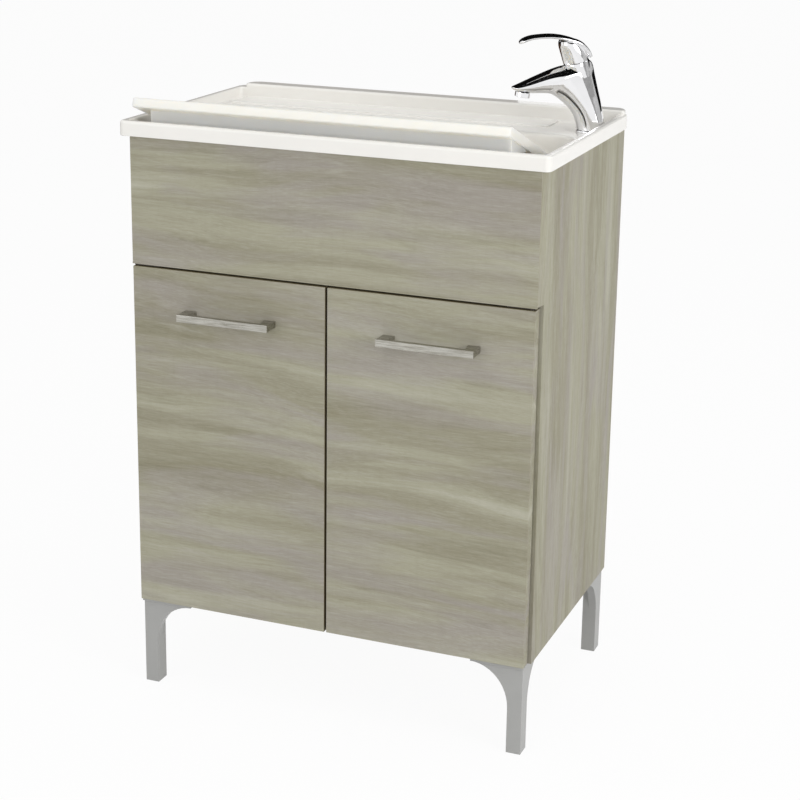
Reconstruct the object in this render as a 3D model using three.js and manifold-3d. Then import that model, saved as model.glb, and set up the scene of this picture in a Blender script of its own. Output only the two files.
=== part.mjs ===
// Utility laundry sink: a moulded tub with a lift-out washboard on a two-door wood-grain cabinet with four
// corner legs, a single-lever mixer at the rear right corner and a bottle trap inside.
// Millimetres, +Z up. X runs along the front, Y from front to back, Z = 0 is the floor under the legs.
import * as THREE from "three";
import { mergeVertices } from "three/addons/utils/BufferGeometryUtils.js";
import Module from "manifold-3d";

const wasm = await Module();
wasm.setup();

// ---- Driving dimensions -------------------------------------------------------------------------------
// Cabinet. Depths are counted from the front face of the doors.
const CABINET_WIDTH = 600;
const CABINET_BACK = 388;
const BOARD_THICKNESS = 18;
const BACK_THICKNESS = 8;
const DOOR_THICKNESS = 18;
const DOOR_TO_CARCASS = 2.5;
const LEG_HEIGHT = 129;
const PLATE_THICKNESS = 3;
const CARCASS_HEIGHT = 689.5;
const FASCIA_HEIGHT = 179.7;
const FASCIA_SIDE_SET = 3;
const DOOR_TOP_GAP = 4.5;
const DOOR_BOTTOM_GAP = 1.2;
const DOOR_SIDE_SET = 5;
const DOOR_CENTRE_GAP = 3.5;
const RAIL_HEIGHT = 80;
// The service cut-out in the back panel, placed from the waste pipe that goes through it.
const CUTOUT = { width: 300, height: 260, below_pipe: 136 };
// Pivot hinges at the outer corners of the doors.
const PIVOT_INSET = 6;
const PIN_RADIUS = 2;
const PIN_LENGTH = 12;
const BUSH_RADIUS = 3.5;
const UPPER_PLATE_THICKNESS = 2.5;
const RUNNING_GAP = 0.35;
const FIT_GAP = 0.3;
// Legs.
const POST_WIDTH = 21;
const POST_DEPTH = 24;
const LEG_SIDE_SET = 7;
const LEG_FRONT_SET = 5.5;
const LEG_REAR_SET = 0;
const LEG_REAR_SIDE_SET = 4;
const GUSSET_REACH = 55;
const GUSSET_DROP = 62;
const GUSSET_TIP = 1;
const GUSSET_THICKNESS = 12;
const LEG_TOP_THICKNESS = 3;
const LEG_TOP_SET = 18;
// Handles: bridge pulls on 128 mm hole centres.
const HANDLE_CENTRES = 128;
const HANDLE_LENGTH = 138;
const HANDLE_HEIGHT = 10;
const HANDLE_REACH = 28;
const HANDLE_BAR = 7;
const HANDLE_POST = 12;
const HANDLE_DROP = 60;
const HANDLE_SHIFT = 4;
// Magnetic catches under the front rail.
const CATCH = { set: 14, width: 40, depth: 16, height: 14, plate: 1.8, margin: 4 };
// Tub.
const TUB_OVERHANG = 10;
const TUB_FRONT = -6;
const TUB_REAR_SET = 8;
const WALL = 4;
const RIM_HEIGHT = 20.5;
const SKIRT_LAP = 0.5;
const CORNER_RADIUS = 14;
const REAR_CORNER_RADIUS = 22;
const EDGE_ROUND = 4;
const KERB_WIDTH = 10;
const LEDGE_DEPTH = 40;
const UPSTAND_DEPTH = 28;
const UPSTAND_RISE = 6;
const UPSTAND_SET = { left: 18, right: 3 };
const BASIN_SIDE_GAP = 3;
const BASIN_LENGTH = 212;
const BASIN_DEPTH = 178;
const BASIN_RADIUS = 40;
const DRAFT = 0.105;
const STEP_DEPTH = 12;
// Washboard.
const WASHBOARD_THICKNESS = 13.5;
const WASHBOARD_REAR_GAP = 10.5;
const WASHBOARD_LEFT_GAP = 10;
const WASHBOARD_RIGHT_GAP = 22;
const LIP_LEFT_SET = 18;
const LIP_LENGTH = 84;
// The apron under the board's front stands on the front deck; its right end turns back along the board.
const APRON = { behind_kerb: 14, thickness: 4, left_set: 20, right_set: 3 };
const APRON_RETURN = { length: 68, lift: 3 };
const RIB = { width: 8, height: 2.6, first: 38, last: 22, end: 30 };
const WASHBOARD_SLOPE = 0.38;
const WASHBOARD_FRONT = 2;
const WASHBOARD_LIFT = 19;
const WASHBOARD_RIBS = 15;
// Mixer. u runs along the spout, v across it, both from the centre of the base.
const MIXER_TURN = 216;
const MIXER_KERB_GAP = 1.5;
const MIXER_SETBACK = 43;
const BASE_RADIUS = 21.5;
const BASE_HEIGHT = 4;
const STUD_RADIUS = 5;
const STUD_LENGTH = 52;
const STUD_HOLE_RADIUS = 9;
// The stud stands inward of the mixer's middle, so that its nut clears the side panel.
const STUD_SET = 4.5;
const CLAMP = { reach: 30, side_gap: 1, half_depth: 20, thickness: 3 };
const NUT = { half_flats: 8.5, height: 9 };
const HEAD_TILT = 14.3;
const HEAD_CENTRE = { u: 25.6, z: 99.1 };
const CARTRIDGE_RADIUS = 12.5;
const CARTRIDGE_DEPTH = 30;
const LIFT_PIVOT = { a: -11, h: 7 };
const LIFT_ANGLE = 18;
const AERATOR_RADIUS = 10.5;
// Waste.
const DRAIN_BEHIND_MIDDLE = 5;
const DRAIN_HOLE_RADIUS = 26;
const FLANGE_RADIUS = 36;
const THROAT_RADIUS = 25;
const THROAT_LENGTH = 47;
const PIPE_RADIUS = 20;
const PIPE_WALL = 2;
const TRAP_RADIUS = 32;
const TRAP_DROP = 177;
const TRAP_HEIGHT = 86;
const TRAP_WALL = 3;
const OUTLET_DROP = 30;
const OUTLET_STUB = 26;
const PIPE_DIP = 70;
const CUP = { wall: 5, lap: 14, depth: 52, floor: 5, taper: 8, foot: 10 };
const RING_NUT = { extra: 9, height: 16, hold: 12, grip: 5, half_length: 14 };
const STRAINER = { drop: 17, thickness: 3 };
const PLUG = { below: 9, above: 4.5, knob: 12, knob_radius: 5 };

// ---- Levels and planes that follow from them ------------------------------------------------------------
const TUB_BACK = CABINET_BACK - TUB_REAR_SET;
const CARCASS_BOTTOM = LEG_HEIGHT + PLATE_THICKNESS;
const CARCASS_TOP = CARCASS_BOTTOM + CARCASS_HEIGHT;
const CARCASS_FRONT = DOOR_THICKNESS + DOOR_TO_CARCASS;
const HALF_WIDTH = CABINET_WIDTH / 2;
const INSIDE = HALF_WIDTH - BOARD_THICKNESS;
const DECK_Z = CARCASS_TOP + WALL;
const RIM_Z = CARCASS_TOP + RIM_HEIGHT;
const SKIRT_Z = CARCASS_TOP - SKIRT_LAP;
const UPSTAND_Z = RIM_Z + UPSTAND_RISE;
const TUB_WIDTH = CABINET_WIDTH + 2 * TUB_OVERHANG;
const BASIN_WIDTH = 2 * (INSIDE - WALL - BASIN_SIDE_GAP);
const BASIN_FLOOR = DECK_Z - BASIN_DEPTH;
const BASIN_UNDER = BASIN_FLOOR - WALL;
const BASIN_FRONT = TUB_FRONT + LEDGE_DEPTH;
const BASIN_BACK = BASIN_FRONT + BASIN_LENGTH;
const FASCIA_TOP = CARCASS_TOP - FIT_GAP;
const FASCIA_BOTTOM = FASCIA_TOP - FASCIA_HEIGHT;
const DOOR_TOP = FASCIA_BOTTOM - DOOR_TOP_GAP;
const DOOR_BOTTOM = CARCASS_BOTTOM + DOOR_BOTTOM_GAP;
const DOOR_OUTER = HALF_WIDTH - DOOR_SIDE_SET;
const DOOR_INNER = DOOR_CENTRE_GAP / 2;
const PIVOT_X = DOOR_OUTER - PIVOT_INSET;
const PIVOT_Y = DOOR_THICKNESS / 2;
const UPPER_PLATE_Z = DOOR_TOP + 1;
const RAIL_BOTTOM = UPPER_PLATE_Z + UPPER_PLATE_THICKNESS;
const HALF_TUB = TUB_WIDTH / 2;
const HANDLE_X = (DOOR_OUTER + DOOR_INNER) / 2;
const HANDLE_Z = DOOR_TOP - HANDLE_DROP;
const KERB_INNER = HALF_TUB - KERB_WIDTH;
const WASHBOARD_LEFT = WASHBOARD_LEFT_GAP - BASIN_WIDTH / 2;
const WASHBOARD_RIGHT = BASIN_WIDTH / 2 - WASHBOARD_RIGHT_GAP;
const LIP_LEFT = LIP_LEFT_SET - HALF_TUB;
const WASHBOARD_REAR = BASIN_BACK - WASHBOARD_REAR_GAP;
// The step in the basin's rear wall lies just under the washboard's rear edge.
const WASHBOARD_Z = RIM_Z + WASHBOARD_LIFT;
const STEP_Z = WASHBOARD_Z - (WASHBOARD_REAR - WASHBOARD_FRONT) * WASHBOARD_SLOPE - FIT_GAP;
const MIXER_X = KERB_INNER - MIXER_KERB_GAP - BASE_RADIUS;
const MIXER_Y = BASIN_BACK + MIXER_SETBACK;
const STUD_X = MIXER_X - STUD_SET;
const DRAIN_Y = (BASIN_FRONT + BASIN_BACK) / 2 + DRAIN_BEHIND_MIDDLE;
const TRAP_TOP = BASIN_UNDER - TRAP_DROP;
const OUTLET_Z = TRAP_TOP - OUTLET_DROP;
const CUTOUT_BOTTOM = OUTLET_Z - CUTOUT.below_pipe;
const CENTRE_Y = (CABINET_BACK - HANDLE_REACH) / 2;

// ---- Materials ------------------------------------------------------------------------------------------
const paint = (color, roughness, metalness = 0) =>
  new THREE.MeshStandardMaterial({ color, roughness, metalness });
const WOOD = paint("#9b9686", 0.55);
const TUB = paint("#e9e6e2", 0.3);
const SATIN = paint("#a6a6a4", 0.45, 0.6);
const NICKEL = paint("#b4b2ac", 0.35, 0.9);
const CHROME = paint("#d0d2d4", 0.12, 1);
const STEEL = paint("#9a9c9e", 0.4, 0.9);
const DARK_STEEL = paint("#3a3833", 0.6, 0.5);
const WHITE_PLASTIC = paint("#e4e4e0", 0.45);
const GREY_PLASTIC = paint("#77787a", 0.5);
const RUBBER = paint("#2c2c2c", 0.8);

// ---- Geometry helpers -----------------------------------------------------------------------------------
// A closed geometry as a solid that can be joined and cut.
function solidOf(geometry) {
  const plain = geometry.clone();
  plain.deleteAttribute("normal");
  plain.deleteAttribute("uv");
  const merged = mergeVertices(plain, 1e-4);
  const mesh = new wasm.Mesh({
    numProp: 3,
    vertProperties: merged.getAttribute("position").array,
    triVerts: new Uint32Array(merged.index.array),
  });
  return new wasm.Manifold(mesh);
}

function geometryOf(solid) {
  const mesh = solid.getMesh();
  const geometry = new THREE.BufferGeometry();
  geometry.setAttribute("position", new THREE.BufferAttribute(mesh.vertProperties, 3));
  geometry.setIndex(new THREE.BufferAttribute(mesh.triVerts, 1));
  geometry.computeVertexNormals();
  return geometry;
}

const join = (...parts) => geometryOf(parts.map(solidOf).reduce((a, b) => a.add(b)));
const cut = (body, ...tools) => geometryOf(tools.map(solidOf).reduce((a, b) => a.subtract(b), solidOf(body)));
const common = (a, b) => geometryOf(solidOf(a).intersect(solidOf(b)));

function box(x0, x1, y0, y1, z0, z1) {
  const geometry = new THREE.BoxGeometry(Math.abs(x1 - x0), y1 - y0, z1 - z0);
  return geometry.translate((x0 + x1) / 2, (y0 + y1) / 2, (z0 + z1) / 2);
}

function shapeOf(points) {
  return new THREE.Shape(points.map(([x, y]) => new THREE.Vector2(x, y)));
}

// A flat outline in X and Y, raised from z0 to z1.
function plate(points, z0, z1) {
  const geometry = new THREE.ExtrudeGeometry(shapeOf(points), { depth: z1 - z0, bevelEnabled: false });
  return geometry.translate(0, 0, z0);
}

// An outline in Y and Z, drawn out along X.
function alongX(points, x0, x1) {
  const shape = shapeOf(points);
  const geometry = new THREE.ExtrudeGeometry(shape, { depth: x1 - x0, bevelEnabled: false });
  const turn = new THREE.Matrix4().set(0, 0, 1, x0, 1, 0, 0, 0, 0, 1, 0, 0, 0, 0, 0, 1);
  return geometry.applyMatrix4(turn);
}

// An outline in X and Z, drawn out along Y.
function alongY(points, y0, y1) {
  const shape = shapeOf(points.map(([x, z]) => [-x, z]));
  const geometry = new THREE.ExtrudeGeometry(shape, { depth: y1 - y0, bevelEnabled: false });
  const turn = new THREE.Matrix4().set(-1, 0, 0, 0, 0, 0, 1, y0, 0, 1, 0, 0, 0, 0, 0, 1);
  return geometry.applyMatrix4(turn);
}

function rod(radius, z0, z1, x = 0, y = 0, sides = 16) {
  const geometry = new THREE.CylinderGeometry(radius, radius, z1 - z0, sides);
  return geometry.rotateX(Math.PI / 2).translate(x, y, (z0 + z1) / 2);
}

// A profile of radius and height turned about a vertical axis. Rings list it as a closed loop.
function turned(profile, x = 0, y = 0, sides = 24) {
  const points = profile.map(([r, z]) => new THREE.Vector2(r, z));
  return new THREE.LatheGeometry(points, sides).rotateX(Math.PI / 2).translate(x, y, 0);
}

// The bore is measured across its flats, so that a round piece of that radius goes through it.
function ring(inner, outer, z0, z1, x = 0, y = 0, sides = 24) {
  const bore = inner / Math.cos(Math.PI / sides);
  const loop = [[bore, z0], [outer, z0], [outer, z1], [bore, z1], [bore, z0]];
  return turned(loop, x, y, sides);
}

// Points of a rectangle with round corners, counterclockwise.
function roundRect(x0, x1, y0, y1, radius, steps = 5, rear = radius) {
  const corners = [[x1 - rear, y1 - rear, 0, rear], [x0 + rear, y1 - rear, 90, rear]];
  corners.push([x0 + radius, y0 + radius, 180, radius], [x1 - radius, y0 + radius, 270, radius]);
  const points = [];
  for (const [cx, cy, start, r] of corners)
    for (let i = 0; i <= steps; i++) {
      const angle = ((start + (90 * i) / steps) * Math.PI) / 180;
      points.push([cx + r * Math.cos(angle), cy + r * Math.sin(angle)]);
    }
  return points;
}

// A solid between outlines of equal point counts, given from the bottom up as { z, points }.
function loft(levels) {
  const positions = [];
  const indices = [];
  const count = levels[0].points.length;
  for (const level of levels)
    for (const [x, y] of level.points) positions.push(x, y, level.z);
  for (let k = 0; k + 1 < levels.length; k++)
    for (let i = 0; i < count; i++) {
      const a = k * count + i;
      const b = k * count + ((i + 1) % count);
      indices.push(a, b, b + count, a, b + count, a + count);
    }
  const faces = THREE.ShapeUtils.triangulateShape(
    levels[0].points.map(([x, y]) => new THREE.Vector2(x, y)),
    [],
  );
  const last = (levels.length - 1) * count;
  for (const [a, b, c] of faces) {
    indices.push(a, c, b);
    indices.push(last + a, last + b, last + c);
  }
  const geometry = new THREE.BufferGeometry();
  geometry.setAttribute("position", new THREE.Float32BufferAttribute(positions, 3));
  geometry.setIndex(indices);
  return geometry;
}

// ---- Assembly -------------------------------------------------------------------------------------------
const group = new THREE.Group();
// The origin is on the floor, at the middle of the object's width and depth.
const assembly = new THREE.Group();
assembly.position.set(0, -CENTRE_Y, 0);
group.add(assembly);

function add(parent, name, geometry, material) {
  const mesh = new THREE.Mesh(geometry, material);
  mesh.name = name;
  parent.add(mesh);
  return mesh;
}

const SIDES = [["left", -1], ["right", 1]];

// Spans from a to b on the side s of the middle plane.
const across = (s, a, b) => [Math.min(s * a, s * b), Math.max(s * a, s * b)];
const sideBox = (s, x0, x1, y0, y1, z0, z1) => box(...across(s, x0, x1), y0, y1, z0, z1);

// An outline drawn for the right side, mirrored for the left one and kept counterclockwise.
const mirrored = (s, points) => (s > 0 ? points : points.map(([x, y]) => [-x, y]).reverse());

// ---- Carcass --------------------------------------------------------------------------------------------
const BACK_FRONT_FACE = CABINET_BACK - BACK_THICKNESS;
for (const [side, s] of SIDES)
  add(
    assembly,
    "side_panel_" + side,
    sideBox(s, INSIDE, HALF_WIDTH, CARCASS_FRONT, CABINET_BACK, CARCASS_BOTTOM, CARCASS_TOP),
    WOOD,
  );
const BOTTOM_TOP = CARCASS_BOTTOM + BOARD_THICKNESS;
add(
  assembly,
  "bottom_panel",
  box(-INSIDE, INSIDE, CARCASS_FRONT, BACK_FRONT_FACE, CARCASS_BOTTOM, BOTTOM_TOP),
  WOOD,
);
const CUTOUT_TOP = CUTOUT_BOTTOM + CUTOUT.height;
const RAIL_DEPTH_TOP = CARCASS_TOP - RAIL_HEIGHT;
add(
  assembly,
  "back_panel",
  cut(
    box(-INSIDE, INSIDE, BACK_FRONT_FACE, CABINET_BACK, CARCASS_BOTTOM, CARCASS_TOP),
    box(
      -CUTOUT.width / 2,
      CUTOUT.width / 2,
      BACK_FRONT_FACE - 5,
      CABINET_BACK + 5,
      CUTOUT_BOTTOM,
      CUTOUT_TOP,
    ),
  ),
  WOOD,
);
add(
  assembly,
  "front_rail",
  box(
    -INSIDE,
    INSIDE,
    CARCASS_FRONT,
    CARCASS_FRONT + BOARD_THICKNESS,
    RAIL_BOTTOM,
    RAIL_BOTTOM + RAIL_HEIGHT,
  ),
  WOOD,
);
add(
  assembly,
  "rear_rail",
  box(
    -INSIDE,
    INSIDE,
    BACK_FRONT_FACE - BOARD_THICKNESS,
    BACK_FRONT_FACE,
    RAIL_DEPTH_TOP,
    CARCASS_TOP,
  ),
  WOOD,
);
// The drawer-like front under the rim is fixed to the front edges of the side panels.
const FASCIA_HALF = HALF_WIDTH - FASCIA_SIDE_SET;
add(
  assembly,
  "front_panel",
  box(-FASCIA_HALF, FASCIA_HALF, DOOR_TO_CARCASS, CARCASS_FRONT, FASCIA_BOTTOM, FASCIA_TOP),
  WOOD,
);

// ---- Legs with curved corner gussets --------------------------------------------------------------------

// A concave quarter curve between an upright at t = 0 and the underside of the cabinet.
function gussetOutline(root) {
  const springing = LEG_HEIGHT - GUSSET_DROP;
  const points = [[-root, springing], [0, springing]];
  const steps = 12;
  for (let i = 1; i < steps; i++) {
    const angle = (Math.PI / 2) * (i / steps);
    points.push([
      GUSSET_REACH * (1 - Math.cos(angle)),
      springing + (GUSSET_DROP - GUSSET_TIP) * Math.sin(angle),
    ]);
  }
  points.push([GUSSET_REACH, LEG_HEIGHT - GUSSET_TIP], [GUSSET_REACH, LEG_HEIGHT], [-root, LEG_HEIGHT]);
  return points;
}

function leg(s, front) {
  const postOuter = HALF_WIDTH - (front > 0 ? LEG_SIDE_SET : LEG_REAR_SIDE_SET);
  const postInner = postOuter - POST_WIDTH;
  const yOuter = front > 0 ? LEG_FRONT_SET : CABINET_BACK - LEG_REAR_SET;
  const yInner = yOuter + front * POST_DEPTH;
  const y0 = Math.min(yOuter, yInner);
  const y1 = Math.max(yOuter, yInner);
  const post = sideBox(s, postInner, postOuter, y0, y1, 0, LEG_HEIGHT);
  const acrossOutline = gussetOutline(POST_WIDTH / 2).map(([t, z]) => [postInner - t, z]);
  const yGusset = across(1, yOuter, yOuter + front * GUSSET_THICKNESS);
  // alongY keeps the outline's turning sense, so the mirrored order is picked for each side.
  const wing = alongY(mirrored(s, acrossOutline.reverse()), Math.min(...yGusset), Math.max(...yGusset));
  const deepOutline = gussetOutline(POST_DEPTH / 2).map(([t, z]) => [yInner + front * t, z]);
  const outline = front > 0 ? deepOutline : deepOutline.reverse();
  const fin = alongX(outline, ...across(s, postOuter - GUSSET_THICKNESS, postOuter));
  const reach = GUSSET_REACH - LEG_TOP_SET;
  const topY = across(1, yOuter, yInner + front * reach);
  const triangle = [[postOuter, yOuter], [postInner - reach, yOuter]];
  triangle.push([postInner - reach, yOuter + front * GUSSET_THICKNESS]);
  triangle.push([postOuter - GUSSET_THICKNESS, topY[front > 0 ? 1 : 0]]);
  triangle.push([postOuter, topY[front > 0 ? 1 : 0]]);
  const plan = front > 0 ? triangle.reverse() : triangle;
  const top = plate(mirrored(s, plan), LEG_HEIGHT - LEG_TOP_THICKNESS, LEG_HEIGHT);
  return join(post, wing, fin, top);
}

// The front plates carry the lower door pins; the rear ones only hold the legs.
const PLATE_INNER = HALF_WIDTH - LEG_SIDE_SET - POST_WIDTH - GUSSET_REACH;
const PLATE_DEPTH = POST_DEPTH + GUSSET_REACH;
for (const [side, s] of SIDES) {
  add(assembly, "leg_front_" + side, leg(s, 1), SATIN);
  add(assembly, "leg_rear_" + side, leg(s, -1), SATIN);
  const plateBack = LEG_FRONT_SET + PLATE_DEPTH;
  add(
    assembly,
    "pivot_plate_lower_" + side,
    sideBox(s, PLATE_INNER, DOOR_OUTER - 0.5, 3, plateBack, LEG_HEIGHT, CARCASS_BOTTOM),
    SATIN,
  );
  const rearOuter = HALF_WIDTH - LEG_REAR_SIDE_SET;
  const rearEdge = CABINET_BACK - LEG_REAR_SET;
  add(
    assembly,
    "leg_plate_rear_" + side,
    sideBox(s, PLATE_INNER, rearOuter, rearEdge - PLATE_DEPTH, rearEdge, LEG_HEIGHT, CARCASS_BOTTOM),
    SATIN,
  );
}

// ---- Upper pivot plates, pins and bushes ----------------------------------------------------------------
const BUSH_HOLE = BUSH_RADIUS + FIT_GAP;
const PIN_HOLE = PIN_RADIUS + RUNNING_GAP;
for (const [side, s] of SIDES) {
  const inner = INSIDE - 27;
  const outline = [[inner, 3], [DOOR_OUTER - 1, 3], [DOOR_OUTER - 1, CARCASS_FRONT - FIT_GAP]];
  outline.push([INSIDE - FIT_GAP, CARCASS_FRONT - FIT_GAP]);
  outline.push([INSIDE - FIT_GAP, CARCASS_FRONT + BOARD_THICKNESS]);
  outline.push([inner, CARCASS_FRONT + BOARD_THICKNESS]);
  add(
    assembly,
    "pivot_plate_upper_" + side,
    plate(mirrored(s, outline), UPPER_PLATE_Z, RAIL_BOTTOM),
    DARK_STEEL,
  );
  const x = s * PIVOT_X;
  const lowEnd = CARCASS_BOTTOM + PIN_LENGTH;
  const highEnd = UPPER_PLATE_Z - PIN_LENGTH;
  add(assembly, "pivot_pin_lower_" + side, rod(PIN_RADIUS, CARCASS_BOTTOM, lowEnd, x, PIVOT_Y), STEEL);
  add(assembly, "pivot_pin_upper_" + side, rod(PIN_RADIUS, highEnd, UPPER_PLATE_Z, x, PIVOT_Y), STEEL);
  const bushLow = ring(PIN_HOLE, BUSH_RADIUS, DOOR_BOTTOM, lowEnd + 1, x, PIVOT_Y, 16);
  const bushHigh = ring(PIN_HOLE, BUSH_RADIUS, highEnd - 1, DOOR_TOP, x, PIVOT_Y, 16);
  add(assembly, "pivot_bush_lower_" + side, bushLow, WHITE_PLASTIC);
  add(assembly, "pivot_bush_upper_" + side, bushHigh, WHITE_PLASTIC);

  // ---- Door with blind holes for its bushes ----
  const slab = sideBox(s, DOOR_INNER, DOOR_OUTER, 0, DOOR_THICKNESS, DOOR_BOTTOM, DOOR_TOP);
  const lowHole = rod(BUSH_HOLE, DOOR_BOTTOM - 5, lowEnd + 1 + FIT_GAP, x, PIVOT_Y);
  const highHole = rod(BUSH_HOLE, highEnd - 1 - FIT_GAP, DOOR_TOP + 5, x, PIVOT_Y);
  add(assembly, "door_" + side, cut(slab, lowHole, highHole), WOOD);

  // ---- Bridge handle ----
  const bar = box(
    -HANDLE_LENGTH / 2,
    HANDLE_LENGTH / 2,
    -HANDLE_REACH,
    -HANDLE_REACH + HANDLE_BAR,
    HANDLE_Z - HANDLE_HEIGHT / 2,
    HANDLE_Z + HANDLE_HEIGHT / 2,
  );
  const posts = [-1, 1].map((e) =>
    plate(
      e > 0
        ? [
            [HANDLE_LENGTH / 2 - HANDLE_POST, -HANDLE_REACH + 1],
            [HANDLE_LENGTH / 2, -HANDLE_REACH + 1],
            [HANDLE_LENGTH / 2, -6],
            [HANDLE_LENGTH / 2, 0],
            [HANDLE_CENTRES / 2 - HANDLE_POST, 0],
            [HANDLE_CENTRES / 2 - HANDLE_POST, -6],
          ]
        : [
            [-HANDLE_LENGTH / 2, -HANDLE_REACH + 1],
            [-HANDLE_LENGTH / 2 + HANDLE_POST, -HANDLE_REACH + 1],
            [-HANDLE_CENTRES / 2 + HANDLE_POST, -6],
            [-HANDLE_CENTRES / 2 + HANDLE_POST, 0],
            [-HANDLE_LENGTH / 2, 0],
            [-HANDLE_LENGTH / 2, -6],
          ],
      HANDLE_Z - HANDLE_HEIGHT / 2 + 0.5,
      HANDLE_Z + HANDLE_HEIGHT / 2 - 0.5,
    ),
  );
  const pull = add(assembly, "handle_" + side, join(bar, ...posts), NICKEL);
  // Both pulls sit a little to the right of their door's middle, as in the photograph.
  pull.position.set(s * HANDLE_X + HANDLE_SHIFT, 0, 0);

  // ---- Magnetic catch on the carcass and its plate on the door ----
  const catchX = DOOR_INNER + CATCH.set;
  const catchTop = RAIL_BOTTOM;
  add(
    assembly,
    "magnetic_catch_" + side,
    sideBox(
      s,
      catchX,
      catchX + CATCH.width,
      CARCASS_FRONT,
      CARCASS_FRONT + CATCH.depth,
      catchTop - CATCH.height,
      catchTop,
    ),
    WHITE_PLASTIC,
  );
  add(
    assembly,
    "catch_plate_" + side,
    sideBox(
      s,
      catchX + CATCH.margin,
      catchX + CATCH.width - CATCH.margin,
      DOOR_THICKNESS,
      DOOR_THICKNESS + CATCH.plate,
      catchTop - CATCH.height,
      DOOR_TOP - 1,
    ),
    STEEL,
  );
}

// ---- Moulded tub ----------------------------------------------------------------------------------------
// A plate with round corners whose top edge is rounded over; its lower part is squared off.
function roundedTop(x0, x1, y0, y1, z0, z1, radius, edge, rear = radius) {
  const level = (inset, z) => {
    const front = Math.max(radius - inset, 0.5);
    const back = Math.max(rear - inset, 0.5);
    return { z, points: roundRect(x0 + inset, x1 - inset, y0 + inset, y1 - inset, front, 5, back) };
  };
  const levels = [level(0, z0)];
  const steps = 3;
  for (let i = 0; i <= steps; i++) {
    const angle = (Math.PI / 2) * (i / steps);
    levels.push(level(edge * (1 - Math.cos(angle)), z1 - edge + edge * Math.sin(angle)));
  }
  return loft(levels);
}

function basinLevel(z, grow, stepBack) {
  const inset = (DECK_Z - z) * DRAFT - grow;
  const back = BASIN_BACK - inset - stepBack;
  const radius = Math.max(BASIN_RADIUS - inset, 10);
  const half = BASIN_WIDTH / 2 - inset;
  return { z, points: roundRect(-half, half, BASIN_FRONT + inset, back, radius, 6) };
}

function tub() {
  const rim = roundedTop(
    -HALF_TUB,
    HALF_TUB,
    TUB_FRONT,
    TUB_BACK,
    SKIRT_Z,
    RIM_Z,
    CORNER_RADIUS,
    EDGE_ROUND,
    REAR_CORNER_RADIUS,
  );
  const upstandFront = TUB_BACK - UPSTAND_DEPTH;
  const upstandLeft = -HALF_TUB + UPSTAND_SET.left;
  const upstandRight = HALF_TUB - UPSTAND_SET.right;
  const upstand = roundedTop(
    upstandLeft,
    upstandRight,
    upstandFront,
    TUB_BACK,
    RIM_Z - 6,
    UPSTAND_Z,
    4,
    EDGE_ROUND,
    REAR_CORNER_RADIUS - 3,
  );
  const recess = plate(
    roundRect(-KERB_INNER, KERB_INNER, TUB_FRONT + KERB_WIDTH, upstandFront, 6, 3),
    DECK_Z,
    UPSTAND_Z + 20,
  );
  const inner = HALF_TUB - WALL;
  const low = SKIRT_Z - 10;
  // Behind, the rim sits on the cabinet's top, so the skirt is open there.
  const underDeck = box(-inner, inner, TUB_FRONT + WALL, CABINET_BACK + 5, low, CARCASS_TOP);
  const underUpstand = box(
    upstandLeft + REAR_CORNER_RADIUS,
    upstandRight - REAR_CORNER_RADIUS,
    upstandFront + WALL,
    TUB_BACK - WALL,
    low,
    UPSTAND_Z - WALL,
  );
  const upperOut = loft([basinLevel(STEP_Z - WALL, WALL, 0), basinLevel(DECK_Z - 1, WALL, 0)]);
  const lowerOut = loft([
    basinLevel(BASIN_UNDER, WALL, STEP_DEPTH),
    basinLevel(STEP_Z - WALL + 1, WALL, STEP_DEPTH),
  ]);
  const upperIn = loft([basinLevel(STEP_Z, 0, 0), basinLevel(DECK_Z + 1, 0, 0)]);
  const lowerIn = loft([
    basinLevel(BASIN_FLOOR, 0, STEP_DEPTH),
    basinLevel(STEP_Z + 1, 0, STEP_DEPTH),
  ]);
  const drainHole = rod(DRAIN_HOLE_RADIUS, BASIN_UNDER - 5, BASIN_FLOOR + 5, 0, DRAIN_Y, 24);
  const studHole = rod(STUD_HOLE_RADIUS, CARCASS_TOP - 5, DECK_Z + 5, STUD_X, MIXER_Y, 20);
  const shell = cut(join(rim, upstand), recess, underDeck, underUpstand);
  return cut(join(shell, upperOut, lowerOut), upperIn, lowerIn, drainHole, studHole);
}
add(assembly, "sink_top", tub(), TUB);

// ---- Washboard ------------------------------------------------------------------------------------------
// Drawn flat in its own frame: t runs down the slope from the front edge, h is square to it.
const slope = Math.atan(WASHBOARD_SLOPE);
const WASHBOARD_LENGTH = (WASHBOARD_REAR - WASHBOARD_FRONT) / Math.cos(slope);
// A point of the assembly, seen from the side, in the board's own frame.
function onBoard(y, z) {
  const dy = y - WASHBOARD_FRONT;
  const dz = z - WASHBOARD_Z;
  return [dy * Math.cos(slope) - dz * Math.sin(slope), dy * Math.sin(slope) + dz * Math.cos(slope)];
}

// An upright wall under the board, from the given height into its underside.
function wallUnder(x0, x1, y0, y1, foot) {
  const rise = (y) => WASHBOARD_Z + 2 - (y - WASHBOARD_FRONT) * WASHBOARD_SLOPE;
  return alongX([[y0, foot], [y1, foot], [y1, rise(y1)], [y0, rise(y0)]].map((q) => onBoard(...q)), x0, x1);
}

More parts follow.
